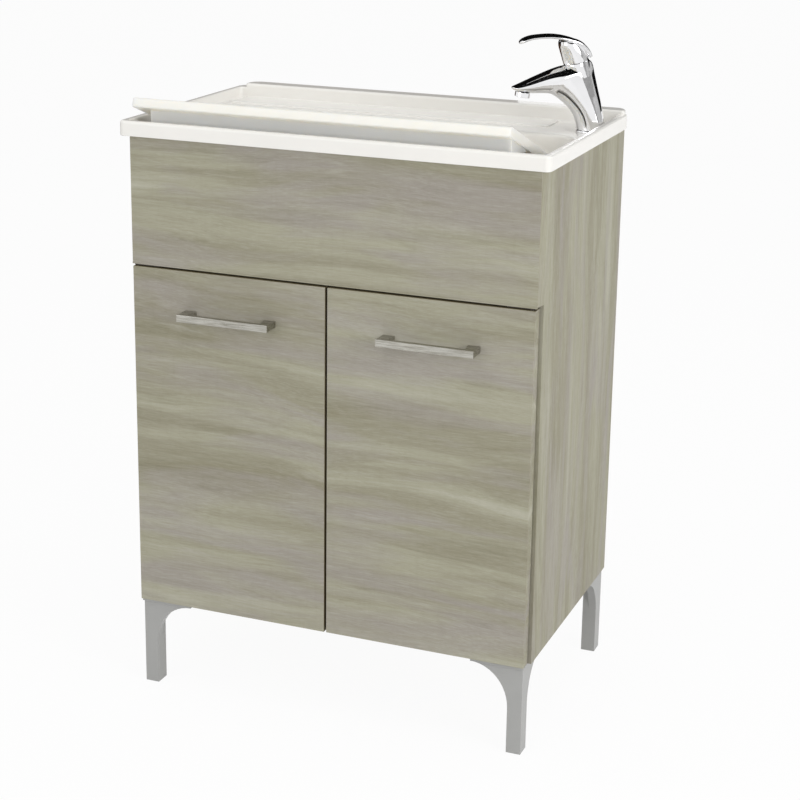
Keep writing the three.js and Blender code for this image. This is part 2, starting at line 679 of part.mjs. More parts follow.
function washboard() {
  const edge = [];
  const front = 3.5;
  for (let i = 0; i <= 4; i++) {
    const angle = (Math.PI / 2) * (i / 4);
    edge.push([front - front * Math.sin(angle), WASHBOARD_THICKNESS - front + front * Math.cos(angle)]);
  }
  const lip = [...edge, [0, 1.5], [1.5, 0], [LIP_LENGTH, 0], [LIP_LENGTH, WASHBOARD_THICKNESS]];
  const slab = [...edge, [0, 1.5], [1.5, 0], [WASHBOARD_LENGTH, 0]];
  slab.push([WASHBOARD_LENGTH, WASHBOARD_THICKNESS]);
  // The rear corners follow the round corners of the basin.
  const plan = roundRect(WASHBOARD_LEFT, WASHBOARD_RIGHT, -60, WASHBOARD_LENGTH, BASIN_RADIUS, 4);
  const main = common(alongX(slab, WASHBOARD_LEFT, WASHBOARD_RIGHT), plate(plan, -5, 30));
  const pieces = [alongX(lip, LIP_LEFT, WASHBOARD_RIGHT), main];
  const apronFront = TUB_FRONT + KERB_WIDTH + APRON.behind_kerb;
  const apronBack = apronFront + APRON.thickness;
  const apronRight = WASHBOARD_RIGHT - APRON.right_set;
  const apronFoot = DECK_Z + FIT_GAP;
  pieces.push(wallUnder(LIP_LEFT + APRON.left_set, apronRight, apronFront, apronBack, apronFoot));
  const returnBack = apronFront + APRON_RETURN.length;
  const returnFoot = apronFoot + APRON_RETURN.lift;
  pieces.push(wallUnder(apronRight - APRON.thickness, apronRight, apronBack - 1, returnBack, returnFoot));
  const pitch = (WASHBOARD_LENGTH - RIB.first - RIB.last) / (WASHBOARD_RIBS - 1);
  const top = WASHBOARD_THICKNESS;
  for (let i = 0; i < WASHBOARD_RIBS; i++) {
    const t = RIB.first + i * pitch;
    const half = RIB.width / 2;
    const shoulder = top + RIB.height * 0.6;
    const rib = [[t - half, top - 1], [t + half, top - 1], [t + half * 0.85, shoulder]];
    rib.push([t, top + RIB.height], [t - half * 0.85, shoulder]);
    pieces.push(alongX(rib, WASHBOARD_LEFT + RIB.end, WASHBOARD_RIGHT - RIB.end));
  }
  return join(...pieces);
}
const board = add(assembly, "washboard", washboard(), TUB);
board.rotation.set(-slope, 0, 0);
board.position.set(0, WASHBOARD_FRONT, WASHBOARD_Z);

// ---- Mixer ----------------------------------------------------------------------------------------------
const mixer = new THREE.Group();
mixer.position.set(MIXER_X, MIXER_Y, DECK_Z);
mixer.rotation.set(0, 0, THREE.MathUtils.degToRad(MIXER_TURN));
assembly.add(mixer);

const tilt = THREE.MathUtils.degToRad(HEAD_TILT);
// A point beside the spout, seen from the side, in the head's own tilted frame.
function headPoint(u, z) {
  const du = u - HEAD_CENTRE.u;
  const dz = z - HEAD_CENTRE.z;
  return [du * Math.cos(tilt) - dz * Math.sin(tilt), du * Math.sin(tilt) + dz * Math.cos(tilt)];
}

// Side outline of the body: rear edge up, seam, spout top, aerator seat, arched underside.
const SEAT_A = { u: 113.2, z: 60.3 };
const SEAT_B = { u: 89.8, z: 56.4 };
const BODY_SIDE = [
  [20, BASE_HEIGHT], [23.5, 17.6], [30.4, 29.8], [41.3, 41.2], [52.1, 49.8], [62.7, 55.5],
  [SEAT_B.u - 6, 56.2], [SEAT_B.u, SEAT_B.z], [SEAT_A.u, SEAT_A.z], [118.2, 65.6], [104.9, 71.2],
  [89.6, 77.8], [69, 86.4], [47.2, 94.2], [42.4, 94.8], [8.8, 103.4], [4.6, 102.6], [1.7, 92.7],
  [-4.4, 69.4], [-10.5, 45.8], [-18, 15.1], [-20, BASE_HEIGHT],
];
// Plan of the body: a round foot that narrows to the spout's nose.
const BODY_PLAN = [
  [118.6, -4], [118.6, 4], [114, 9.5], [104, 12.5], [85, 14.5], [62, 16.5], [40, 18.6], [20, 20],
  [0, 20], [-8, 18.4], [-14, 14.2], [-18, 8.7], [-20, 0], [-18, -8.7], [-14, -14.2], [-8, -18.4],
  [0, -20], [20, -20], [40, -18.6], [62, -16.5], [85, -14.5], [104, -12.5], [114, -9.5],
];
function inHeadFrame(geometry) {
  return geometry.rotateY(tilt).translate(HEAD_CENTRE.u, 0, HEAD_CENTRE.z);
}
const bodySolid = common(alongY(BODY_SIDE, -22, 22), plate(BODY_PLAN, 0, 130));
const pocket = inHeadFrame(rod(CARTRIDGE_RADIUS + 0.5, -CARTRIDGE_DEPTH - FIT_GAP, 20, 0, 0, 24));
add(mixer, "faucet_body", cut(bodySolid, pocket), CHROME);
add(mixer, "faucet_base_ring", turned([[0, 0], [BASE_RADIUS, 0], [BASE_RADIUS, BASE_HEIGHT - 1.2],
  [BASE_RADIUS - 1.2, BASE_HEIGHT], [0, BASE_HEIGHT]], 0, 0, 32), CHROME);

// The nozzle is let in under the spout's tip, square to the seat.
const seatAngle = Math.atan2(SEAT_A.z - SEAT_B.z, SEAT_A.u - SEAT_B.u);
const nozzle = turned(
  [[0, -1.5], [AERATOR_RADIUS - 2.2, -1.5], [AERATOR_RADIUS - 2.2, -7], [AERATOR_RADIUS, -7],
    [AERATOR_RADIUS, -FIT_GAP], [0, -FIT_GAP]],
  0, 0, 24,
);
const aerator = add(mixer, "aerator", nozzle, CHROME);
aerator.position.set((SEAT_A.u + SEAT_B.u) / 2, 0, (SEAT_A.z + SEAT_B.z) / 2);
aerator.rotation.set(0, -seatAngle, 0);

// Everything on the cartridge shares its tilted axis.
const head = new THREE.Group();
head.position.set(HEAD_CENTRE.u, 0, HEAD_CENTRE.z);
head.rotation.set(0, tilt, 0);
mixer.add(head);
add(head, "cartridge", rod(CARTRIDGE_RADIUS, -CARTRIDGE_DEPTH, -4, 0, 0, 24), WHITE_PLASTIC);
add(head, "cartridge_nut", ring(5, CARTRIDGE_RADIUS, -4 + FIT_GAP, 0, 0, 0, 24), STEEL);
// The turning seat: a disc on a stem, with a lug at the back that the lever tilts on.
const LUG = 4;
add(
  head,
  "lever_seat",
  cut(
    join(
      rod(4.5, -3.6, 1.5, 0, 0, 16),
      rod(CARTRIDGE_RADIUS - 1, FIT_GAP, 2.5, 0, 0, 24),
      box(LIFT_PIVOT.a - 2.6, LIFT_PIVOT.a + 6, -LUG, LUG, 0.6, LIFT_PIVOT.h + 3),
    ),
    rod(1.8, -20, 20, 0, 0, 12).rotateX(Math.PI / 2).translate(LIFT_PIVOT.a, 0, LIFT_PIVOT.h),
  ),
  STEEL,
);
const pin = rod(1.5, -13, 13, 0, 0, 12).rotateX(Math.PI / 2);
add(head, "lever_pin", pin.translate(LIFT_PIVOT.a, 0, LIFT_PIVOT.h), STEEL);

// Side outline of the head and its blade, from the seam round the front, blade and rear.
const LEVER_SIDE = [
  [46.6, 97.4], [51.7, 126.6], [54.5, 128.9], [80.7, 131], [98.4, 128.8], [107.4, 125.3],
  [109.2, 128.1], [101.4, 133.9], [91.2, 136.7], [75.5, 137.8], [59.9, 137.8], [44.2, 135.2],
  [28.2, 130.5], [17.5, 124.3], [10, 116.1], [5.3, 107.4], [8, 104.8],
].map(([u, z]) => headPoint(u, z));
const LEVER_PLAN = [
  [76, -3], [76, 3], [73, 8], [66, 11], [50, 13.5], [30, 16], [12, 17.8], [0, 19], [-10, 18.2],
  [-17, 14.5], [-22, 7], [-23, 0], [-22, -7], [-17, -14.5], [-10, -18.2], [0, -19], [12, -17.8],
  [30, -16], [50, -13.5], [66, -11], [73, -8],
];
const leverSolid = common(alongY(LEVER_SIDE, -24, 24), plate(LEVER_PLAN, -20, 60));
const leverPocket = join(
  rod(14.2, -30, 3.4, 0, 0, 24),
  box(LIFT_PIVOT.a - 5.5, LIFT_PIVOT.a + 18, -LUG - 1, LUG + 1, -30, LIFT_PIVOT.h + 8),
);
const pinBore = rod(1.8, -13.5, 13.5, 0, 0, 12).rotateX(Math.PI / 2);
const seamCut = box(-60, 60, -40, 40, -60, FIT_GAP);
// Behind its pivot the head is relieved, so that it can tip back when the lever is lifted.
const relief = Math.tan(THREE.MathUtils.degToRad(LIFT_ANGLE + 1));
const heel = alongY(
  [
    [LIFT_PIVOT.a - 20, -5],
    [LIFT_PIVOT.a + 1, -5],
    [LIFT_PIVOT.a + 1, FIT_GAP],
    [LIFT_PIVOT.a - 20, FIT_GAP + 21 * relief],
  ],
  -30,
  30,
);
add(
  head,
  "lever_handle",
  cut(leverSolid, leverPocket, seamCut, heel, pinBore.translate(LIFT_PIVOT.a, 0, LIFT_PIVOT.h)),
  CHROME,
);

// Clamping under the deck: stud, crescent plate and nut.
const under = -WALL;
const clamp = new THREE.Group();
clamp.position.set(STUD_X, MIXER_Y, DECK_Z);
assembly.add(clamp);
add(clamp, "mounting_stud", rod(STUD_RADIUS, -STUD_LENGTH, 0, 0, 0, 16), STEEL);
add(
  clamp,
  "clamp_plate",
  cut(
    box(
      -CLAMP.reach,
      INSIDE - STUD_X - CLAMP.side_gap,
      -CLAMP.half_depth,
      CLAMP.half_depth,
      under - CLAMP.thickness,
      under,
    ),
    rod(STUD_RADIUS + FIT_GAP, under - 10, under + 10),
  ),
  STEEL,
);
const nutTop = under - CLAMP.thickness;
const nutHex = rod(NUT.half_flats / Math.cos(Math.PI / 6), nutTop - NUT.height, nutTop, 0, 0, 6);
const nutBore = rod(STUD_RADIUS + FIT_GAP, nutTop - 2 * NUT.height, under, 0, 0, 16);
add(clamp, "mounting_nut", cut(nutHex, nutBore), STEEL);

// ---- Waste ----------------------------------------------------------------------------------------------
const waste = new THREE.Group();
waste.position.set(0, DRAIN_Y, 0);
assembly.add(waste);
const throatEnd = BASIN_FLOOR - THROAT_LENGTH;
const throatInner = THROAT_RADIUS - 3;
const flange = turned([
  [throatInner, throatEnd],
  [THROAT_RADIUS, throatEnd],
  [THROAT_RADIUS, BASIN_FLOOR],
  [FLANGE_RADIUS, BASIN_FLOOR],
  [FLANGE_RADIUS - 1, BASIN_FLOOR + 1.6],
  [throatInner + 3, BASIN_FLOOR + 1.6],
  [throatInner, BASIN_FLOOR - 4],
  [throatInner, throatEnd],
], 0, 0, 32);
const bars = [0, 1].map((i) =>
  box(
    -throatInner - 1,
    throatInner + 1,
    -STRAINER.thickness / 2,
    STRAINER.thickness / 2,
    BASIN_FLOOR - STRAINER.drop - STRAINER.thickness,
    BASIN_FLOOR - STRAINER.drop,
  ).rotateZ((i * Math.PI) / 2),
);
add(waste, "drain_flange", join(flange, ...bars), CHROME);
const plugRadius = throatInner + 2;
add(waste, "plug", turned([
  [0, BASIN_FLOOR - PLUG.below],
  [throatInner - 1.5, BASIN_FLOOR - PLUG.below],
  [throatInner - 1, BASIN_FLOOR - 4],
  [plugRadius, BASIN_FLOOR + 2],
  [plugRadius + 3, BASIN_FLOOR + 2.1],
  [plugRadius + 3, BASIN_FLOOR + PLUG.above],
  [PLUG.knob_radius, BASIN_FLOOR + PLUG.above + 1.5],
  [PLUG.knob_radius, BASIN_FLOOR + PLUG.knob],
  [0, BASIN_FLOOR + PLUG.knob + 1],
], 0, 0, 24), RUBBER);
const gasketTop = BASIN_UNDER;
add(waste, "drain_gasket", ring(THROAT_RADIUS + FIT_GAP, FLANGE_RADIUS, gasketTop - 3, gasketTop), RUBBER);
const GASKET_THICKNESS = 3;
const drainNutTop = gasketTop - GASKET_THICKNESS;
const drainNut = ring(
  THROAT_RADIUS + FIT_GAP,
  FLANGE_RADIUS - 1,
  drainNutTop - NUT.height,
  drainNutTop,
  0,
  0,
  12,
);
add(waste, "drain_nut", drainNut, STEEL);
const tailTop = throatEnd + RING_NUT.hold - 4;
const tailBottom = TRAP_TOP - PIPE_DIP;
add(waste, "tail_pipe", ring(PIPE_RADIUS - PIPE_WALL, PIPE_RADIUS, tailBottom, tailTop), WHITE_PLASTIC);
add(waste, "tail_nut", turned([
  [PIPE_RADIUS + FIT_GAP, throatEnd - RING_NUT.hold],
  [THROAT_RADIUS + RING_NUT.grip, throatEnd - RING_NUT.hold],
  [THROAT_RADIUS + RING_NUT.grip, throatEnd + RING_NUT.hold],
  [THROAT_RADIUS + FIT_GAP, throatEnd + RING_NUT.hold],
  [THROAT_RADIUS + FIT_GAP, throatEnd - 1],
  [PIPE_RADIUS + FIT_GAP, throatEnd - 1],
  [PIPE_RADIUS + FIT_GAP, throatEnd - RING_NUT.hold],
]), WHITE_PLASTIC);
const trapWall = TRAP_WALL;
const trapBottom = TRAP_TOP - TRAP_HEIGHT;
const trapShell = turned([
  [PIPE_RADIUS + FIT_GAP, TRAP_TOP],
  [PIPE_RADIUS + FIT_GAP, TRAP_TOP - 4],
  [TRAP_RADIUS - trapWall, TRAP_TOP - 4],
  [TRAP_RADIUS - trapWall, trapBottom],
  [TRAP_RADIUS, trapBottom],
  [TRAP_RADIUS, TRAP_TOP],
  [PIPE_RADIUS + FIT_GAP, TRAP_TOP],
]);
const lying = (geometry, z) => geometry.rotateX(-Math.PI / 2).translate(0, 0, z);
const OUTLET_START = TRAP_RADIUS + OUTLET_STUB;
const stub = lying(rod(PIPE_RADIUS, TRAP_RADIUS - 4, OUTLET_START, 0, 0, 24), OUTLET_Z);
const stubBore = lying(rod(PIPE_RADIUS - 3, TRAP_RADIUS - 10, OUTLET_START + 5, 0, 0, 24), OUTLET_Z);
const bottleBore = rod(TRAP_RADIUS - trapWall, trapBottom - 1, TRAP_TOP - 4);
const bottle = cut(join(trapShell, stub), bottleBore, stubBore);
add(waste, "trap_body", bottle, WHITE_PLASTIC);
add(
  waste,
  "trap_top_nut",
  ring(
    PIPE_RADIUS + FIT_GAP,
    PIPE_RADIUS + RING_NUT.extra,
    TRAP_TOP,
    TRAP_TOP + RING_NUT.height,
    0,
    0,
    12,
  ),
  WHITE_PLASTIC,
);
const cupTop = trapBottom + CUP.lap;
const cupRadius = TRAP_RADIUS + CUP.wall;
add(waste, "trap_cup", turned([
  [0, trapBottom - CUP.depth],
  [cupRadius - CUP.foot, trapBottom - CUP.depth],
  [cupRadius - 3, trapBottom - CUP.depth + CUP.taper],
  [cupRadius, trapBottom - 6],
  [cupRadius, cupTop],
  [TRAP_RADIUS + FIT_GAP, cupTop],
  [TRAP_RADIUS + FIT_GAP, trapBottom - FIT_GAP],
  [TRAP_RADIUS - TRAP_WALL, trapBottom - FIT_GAP],
  [TRAP_RADIUS - CUP.wall, trapBottom - CUP.depth + CUP.floor + 5],
  [0, trapBottom - CUP.depth + CUP.floor],
]), GREY_PLASTIC);
const outletEnd = CABINET_BACK - DRAIN_Y;
const outlet = ring(PIPE_RADIUS - PIPE_WALL, PIPE_RADIUS, OUTLET_START + FIT_GAP, outletEnd);
add(waste, "outlet_pipe", lying(outlet, OUTLET_Z), WHITE_PLASTIC);
const coupling = ring(
  PIPE_RADIUS + FIT_GAP,
  PIPE_RADIUS + RING_NUT.extra - 1,
  OUTLET_START - RING_NUT.half_length,
  OUTLET_START + RING_NUT.half_length,
  0,
  0,
  12,
);
add(waste, "trap_outlet_nut", lying(coupling, OUTLET_Z), WHITE_PLASTIC);

export default group;
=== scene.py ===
import math

import bmesh
import bpy
from mathutils import Matrix, Vector


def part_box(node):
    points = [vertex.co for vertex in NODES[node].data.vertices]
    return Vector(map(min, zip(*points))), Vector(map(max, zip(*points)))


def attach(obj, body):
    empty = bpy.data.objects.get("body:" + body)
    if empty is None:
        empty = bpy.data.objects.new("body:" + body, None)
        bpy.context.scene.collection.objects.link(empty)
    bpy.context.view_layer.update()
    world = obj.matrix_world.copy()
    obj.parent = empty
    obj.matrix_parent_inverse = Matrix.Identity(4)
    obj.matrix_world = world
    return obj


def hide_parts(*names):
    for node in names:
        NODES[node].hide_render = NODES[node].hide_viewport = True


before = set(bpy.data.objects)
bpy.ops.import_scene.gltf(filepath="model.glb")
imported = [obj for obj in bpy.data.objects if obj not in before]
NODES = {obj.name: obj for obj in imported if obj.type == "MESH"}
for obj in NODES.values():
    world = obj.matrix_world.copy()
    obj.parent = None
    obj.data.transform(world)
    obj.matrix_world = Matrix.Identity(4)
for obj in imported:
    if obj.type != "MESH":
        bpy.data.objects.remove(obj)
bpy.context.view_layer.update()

# The doors' front face in the frame. Depths in millimetres are counted from it towards the back.
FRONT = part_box("door_left")[0].y
MM = 0.001


def at(x, y, z):
    """A point in the row frame, in metres, from millimetres counted from the doors' front face."""
    return Vector((x * MM, FRONT + y * MM, z * MM))


# ---- Materials ---------------------------------------------------------------------------------
def srgb(r, g, b):
    """A linear colour from 8-bit sRGB values."""
    out = []
    for c in (r, g, b):
        c /= 255
        out.append(c / 12.92 if c <= 0.04045 else ((c + 0.055) / 1.055) ** 2.4)
    return (*out, 1.0)


class Shader:
    """A material's node tree, with short calls for the nodes used here."""

    def __init__(self, name):
        self.material = bpy.data.materials.new(name)
        self.material.use_nodes = True
        self.tree = self.material.node_tree
        self.bsdf = self.tree.nodes["Principled BSDF"]
        self.coords = self.node("ShaderNodeTexCoord").outputs["Object"]

    def node(self, kind, **settings):
        n = self.tree.nodes.new(kind)
        for k, v in settings.items():
            setattr(n, k, v)
        return n

    def link(self, a, b):
        self.tree.links.new(a, b)

    def mapped(self, scale, location=(0, 0, 0)):
        m = self.node("ShaderNodeMapping")
        m.inputs["Scale"].default_value = scale
        m.inputs["Location"].default_value = location
        self.link(self.coords, m.inputs["Vector"])
        return m.outputs["Vector"]

    def noise(self, vector, scale=1.0, detail=3.0, roughness=0.5, distortion=0.0):
        n = self.node("ShaderNodeTexNoise")
        n.inputs["Scale"].default_value = scale
        n.inputs["Detail"].default_value = detail
        n.inputs["Roughness"].default_value = roughness
        n.inputs["Distortion"].default_value = distortion
        self.link(vector, n.inputs["Vector"])
        return n.outputs["Fac"]

    def spread(self, value, low, high, from_low=0.3, from_high=0.7):
        """A value between from_low and from_high, carried over to between low and high."""
        m = self.node("ShaderNodeMapRange")
        m.inputs["From Min"].default_value = from_low
        m.inputs["From Max"].default_value = from_high
        m.inputs["To Min"].default_value = low
        m.inputs["To Max"].default_value = high
        self.link(value, m.inputs["Value"])
        return m.outputs["Result"]

    def ramp(self, value, stops):
        r = self.node("ShaderNodeValToRGB")
        r.color_ramp.interpolation = "EASE"
        while len(r.color_ramp.elements) < len(stops):
            r.color_ramp.elements.new(0.5)
        for e, (pos, color) in zip(r.color_ramp.elements, stops):
            e.position = pos
            e.color = color
        self.link(value, r.inputs["Fac"])
        return r.outputs["Color"]

    def mix(self, kind, factor, a, b):
        """b mixed into a. Factor and colours are either plain values or sockets."""
        m = self.node("ShaderNodeMix", data_type="RGBA", blend_type=kind)
        if isinstance(factor, (int, float)):
            m.inputs["Factor"].default_value = factor
        else:
            self.link(factor, m.inputs["Factor"])
        for key, value in (("A", a), ("B", b)):
            socket = next(s for s in m.inputs if s.name == key and s.type == "RGBA")
            if isinstance(value, (tuple, list)):
                socket.default_value = value
            else:
                self.link(value, socket)
        return next(s for s in m.outputs if s.type == "RGBA")

    def math(self, operation, a, b):
        m = self.node("ShaderNodeMath", operation=operation)
        for i, v in enumerate((a, b)):
            if isinstance(v, (int, float)):
                m.inputs[i].default_value = v
            else:
                self.link(v, m.inputs[i])
        return m.outputs["Value"]

    def facing(self, toward, low, high):
        """0 to 1 as the surface turns towards a direction of the object's own."""
        dot = self.node("ShaderNodeVectorMath", operation="DOT_PRODUCT")
        self.link(self.node("ShaderNodeTexCoord").outputs["Normal"], dot.inputs[0])
        dot.inputs[1].default_value = toward
        return self.spread(dot.outputs["Value"], 0.0, 1.0, low, high)

    def bump(self, height, distance, strength):
        b = self.node("ShaderNodeBump")
        b.inputs["Distance"].default_value = distance
        b.inputs["Strength"].default_value = strength
        self.link(height, b.inputs["Height"])
        self.link(b.outputs["Normal"], self.bsdf.inputs["Normal"])

    def set(self, **values):
        """Plain values on the shader's own sockets."""
        for k, v in values.items():
            self.bsdf.inputs[k.replace("_", " ")].default_value = v


def drawn_out(axis, along, across):
    """Noise scales whose marks are drawn out along one axis, or along none."""
    return [along if i == axis else across for i in range(3)]


# Painted shade: a dark brown for the board edges that face the gaps between the doors and the fixed
# front.
GAP_SHADE_BROWN = srgb(118, 107, 80)
WANDER = 0.06  # metres between a fibre's furthest drifts to either side


def wood(name, grain, seed, edges=()):
    """Grey-olive wood foil. grain is the axis of the fibres, 0 for X or 2 for Z.

    edges lists the directions of the board edges that face the gaps between the parts; they are
    toned dark brown, painted shade for those gaps.
    """
    s = Shader(name)

    def stretched(along, across, offset):
        """Coordinates drawn out along the fibres, at a place of this board's own."""
        place = (seed + offset, seed * 0.7 + offset, seed * 1.3 - offset)
        return s.mapped(drawn_out(grain, along, across), place)

    # The fibres wander a little across their length.
    drift = s.noise(stretched(2.3, 6.0, 3.1), 1.0, 1.0)
    shift = s.math("MULTIPLY", s.math("SUBTRACT", drift, 0.5), WANDER)
    push = s.node("ShaderNodeCombineXYZ")
    for axis in "XYZ":
        if axis != "XYZ"[grain]:
            s.link(shift, push.inputs[axis])
    moved = s.node("ShaderNodeVectorMath", operation="ADD")
    s.link(s.coords, moved.inputs[0])
    s.link(push.outputs["Vector"], moved.inputs[1])
    plain = s.coords
    s.coords = moved.outputs["Vector"]

    bands = s.noise(stretched(1.5, 23.0, 0.0), 1.0, 4.0, 0.58, 0.5)
    fine = s.noise(stretched(9.0, 300.0, 7.7), 1.0, 3.0, 0.65)
    fibre = s.noise(stretched(40.0, 800.0, 1.9), 1.0, 2.0, 0.6)
    patch = s.noise(stretched(2.6, 19.0, 5.3), 1.0, 3.0, 0.55, 0.6)
    veins = s.noise(stretched(4.2, 70.0, 11.0), 1.0, 3.0, 0.6, 0.8)
    s.coords = plain
    comb = s.noise(stretched(160.0, 22.0, 2.4), 1.0, 2.0, 0.6)
    dash = s.noise(stretched(110.0, 620.0, 4.6), 1.0, 2.0, 0.7)
    pale = s.noise(stretched(6.0, 52.0, 8.8), 1.0, 4.0, 0.65, 0.9)

    toned = s.ramp(bands, [
        (0.28, srgb(140, 135, 113)),
        (0.43, srgb(152, 148, 128)),
        (0.55, srgb(164, 161, 141)),
        (0.72, srgb(179, 177, 160)),
    ])
    # Each layer: how it mixes, its noise, its full strength, the range of the noise over which
    # it comes in, and its tone.
    layers = (
        ("MIX", patch, 0.8, 0.47, 0.66, srgb(160, 154, 147)),
        ("MULTIPLY", veins, 0.55, 0.54, 0.74, (0.77, 0.77, 0.72, 1)),
        ("MULTIPLY", fine, 0.5, 0.48, 0.76, (0.83, 0.82, 0.78, 1)),
        ("SCREEN", fibre, 0.08, 0.46, 0.76, (1, 0.98, 0.9, 1)),
        ("MIX", pale, 0.6, 0.6, 0.78, srgb(183, 179, 168)),
        ("MULTIPLY", dash, 0.45, 0.52, 0.72, (0.84, 0.83, 0.79, 1)),
        ("MULTIPLY", comb, 0.22, 0.48, 0.75, (0.88, 0.88, 0.85, 1)),
    )
    for kind, marks, full, begin, end, tone in layers:
        toned = s.mix(kind, s.spread(marks, 0.0, full, begin, end), toned, tone)
    # Painted shade: the edges that face the gaps turn dark brown.
    for toward in edges:
        toned = s.mix("MIX", s.facing(toward, 0.8, 0.9), toned, GAP_SHADE_BROWN)
    s.link(toned, s.bsdf.inputs["Base Color"])
    s.link(s.spread(fine, 0.5, 0.66), s.bsdf.inputs["Roughness"])
    s.set(Specular_IOR_Level=0.25)
    s.bump(s.math("ADD", fine, s.math("MULTIPLY", fibre, 0.5)), 0.00012, 0.5)
    return s.material


def moulded(name, color, rough, coat=0.0, mottle=0.04, grain=900.0, depth=0.00002, milky=0.0):
    """A moulded or painted surface with a faint mottle and a fine skin.

    grain is the scale of the skin's noise, depth its height in metres, and milky the share of
    light that enters it.
    """
    s = Shader(name)
    cloud = s.noise(s.coords, 14.0, 3.0, 0.55)
    dark = tuple(c * (1 - mottle) for c in color[:3]) + (1,)
    tone = s.mix("MIX", s.spread(cloud, 0.0, 1.0), color, dark)
    s.link(tone, s.bsdf.inputs["Base Color"])
    skin = s.noise(s.coords, grain, 2.0, 0.6)
    s.link(s.spread(skin, rough * 0.88, rough * 1.14), s.bsdf.inputs["Roughness"])
    s.set(Coat_Weight=coat, Coat_Roughness=0.08, Specular_IOR_Level=0.45)
    if milky:
        s.set(Subsurface_Weight=milky, Subsurface_Radius=(1.0, 0.92, 0.8), Subsurface_Scale=0.02)
    s.bump(skin, depth, 0.6)
    return s.material


def metal(name, color, rough, brush=None, spread=0.25, depth=0.00001, streak=0.0):
    """A metal. brush is the axis its brush marks run along, or None for a polished or blasted one.

    spread is how much its gloss varies, depth the height of its marks in metres, and streak how
    dark they are.
    """
    s = Shader(name)
    marks = s.noise(s.mapped(drawn_out(brush, 9.0, 700.0)), 1.0, 3.0, 0.6)
    cloud = s.noise(s.coords, 22.0, 2.0, 0.5)
    dark = tuple(c * (1 - spread * 0.35) for c in color[:3]) + (1,)
    tone = s.mix("MIX", s.spread(cloud, 0.0, 1.0), color, dark)
    if streak:
        lines = s.noise(s.mapped(drawn_out(brush, 26.0, 620.0), (3, 1, 2)), 1.0, 3.0, 0.7)
        strength = s.spread(lines, 0.0, streak, 0.42, 0.66)
        tone = s.mix("MULTIPLY", strength, tone, (0.45, 0.43, 0.38, 1))
    s.link(tone, s.bsdf.inputs["Base Color"])
    s.link(s.spread(marks, rough * (1 - spread), rough * (1 + spread)), s.bsdf.inputs["Roughness"])
    s.set(Metallic=1.0)
    s.bump(marks, depth, 0.5)
    return s.material


WOOD_X = wood("wood_front", 0, 2.0)
WOOD_DOOR_LEFT = wood("wood_door_left", 0, 6.4, ((0, 0, 1), (1, 0, 0)))
WOOD_DOOR_RIGHT = wood("wood_door_right", 0, 9.1, ((0, 0, 1), (-1, 0, 0)))
WOOD_Z = wood("wood_side", 2, 4.2)
TUB = moulded("tub_white", srgb(243, 241, 236), 0.24, coat=0.3, mottle=0.025)
WASHBOARD = moulded("washboard_white", srgb(247, 243, 233), 0.32, coat=0.15, mottle=0.03, milky=0.9)
SATIN = moulded(
    "leg_grey", srgb(168, 168, 166), 0.42, coat=0.15, mottle=0.06, grain=1400.0, depth=0.00003
)
NICKEL = metal(
    "handle_nickel", srgb(190, 188, 180), 0.3, brush=0, spread=0.4, depth=0.00003, streak=0.75
)
CHROME = metal("chrome", srgb(246, 246, 247), 0.04, spread=0.3, depth=0.0)
STEEL = metal("zinc_steel", srgb(176, 176, 174), 0.38, spread=0.3)
# Painted shade: the upper pivot plates are dark brown so that they read as the shaded gap above the
# doors.
GAP_SHADE_PLATE = moulded("dark_steel", srgb(54, 47, 36), 0.5, mottle=0.12, grain=700.0, depth=0.00003)
WHITE = moulded("white_plastic", srgb(228, 227, 222), 0.42)
GREY = moulded("grey_plastic", srgb(118, 119, 121), 0.45)
RUBBER = moulded("rubber", srgb(40, 40, 41), 0.75, mottle=0.1, grain=500.0, depth=0.00006)


# ---- Mesh helpers ------------------------------------------------------------------------------
def paint(obj, material):
    obj.data.materials.clear()
    obj.data.materials.append(material)


def added(name, data):
    """A new object in the scene."""
    obj = bpy.data.objects.new(name, data)
    bpy.context.scene.collection.objects.link(obj)
    return obj


def piece(name, part, material, body, replaces=(), angle=35):
    """A new mesh piece that rides on a body, smooth except at edges sharper than angle."""
    verts, faces = part
    mesh = bpy.data.meshes.new(name)
    mesh.from_pydata([tuple(v) for v in verts], [], faces)
    mesh.validate()
    obj = added(name, mesh)
    bm = bmesh.new()
    bm.from_mesh(mesh)
    bmesh.ops.remove_doubles(bm, verts=bm.verts, dist=1e-6)
    bmesh.ops.dissolve_degenerate(bm, edges=bm.edges, dist=1e-7)
    bmesh.ops.recalc_face_normals(bm, faces=bm.faces)
    bm.to_mesh(mesh)
    bm.free()
    mesh.shade_smooth()
    mesh.set_sharp_from_angle(angle=math.radians(angle))
    paint(obj, material)
    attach(obj, body)
    if replaces:
        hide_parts(*replaces)
    return obj


def weighted(obj):
    """Normals that keep large faces flat beside small roundings."""
    m = obj.modifiers.new("even_normals", "WEIGHTED_NORMAL")
    m.keep_sharp = True
    m.weight = 60


SAME_POINT = 1e-5
SAME_PLANE = math.radians(1.0)
EASED_FROM = math.radians(32)


def dress(node, material, width, segments=2):
    """A CAD node in its material, with its edges eased by a bevel of so many millimetres."""
    obj = NODES[node]
    mesh = obj.data
    if "custom_normal" in mesh.attributes:
        mesh.attributes.remove(mesh.attributes["custom_normal"])
    mesh.shade_smooth()
    weld = obj.modifiers.new("weld", "WELD")
    weld.merge_threshold = SAME_POINT
    flat = obj.modifiers.new("flatten", "DECIMATE")
    flat.decimate_type = "DISSOLVE"
    flat.angle_limit = SAME_PLANE
    bevel = obj.modifiers.new("ease", "BEVEL")
    bevel.width = width * MM
    bevel.segments = segments
    bevel.limit_method = "ANGLE"
    bevel.angle_limit = EASED_FROM
    bevel.harden_normals = True
    bevel.use_clamp_overlap = True
    weighted(obj)
    paint(obj, material)


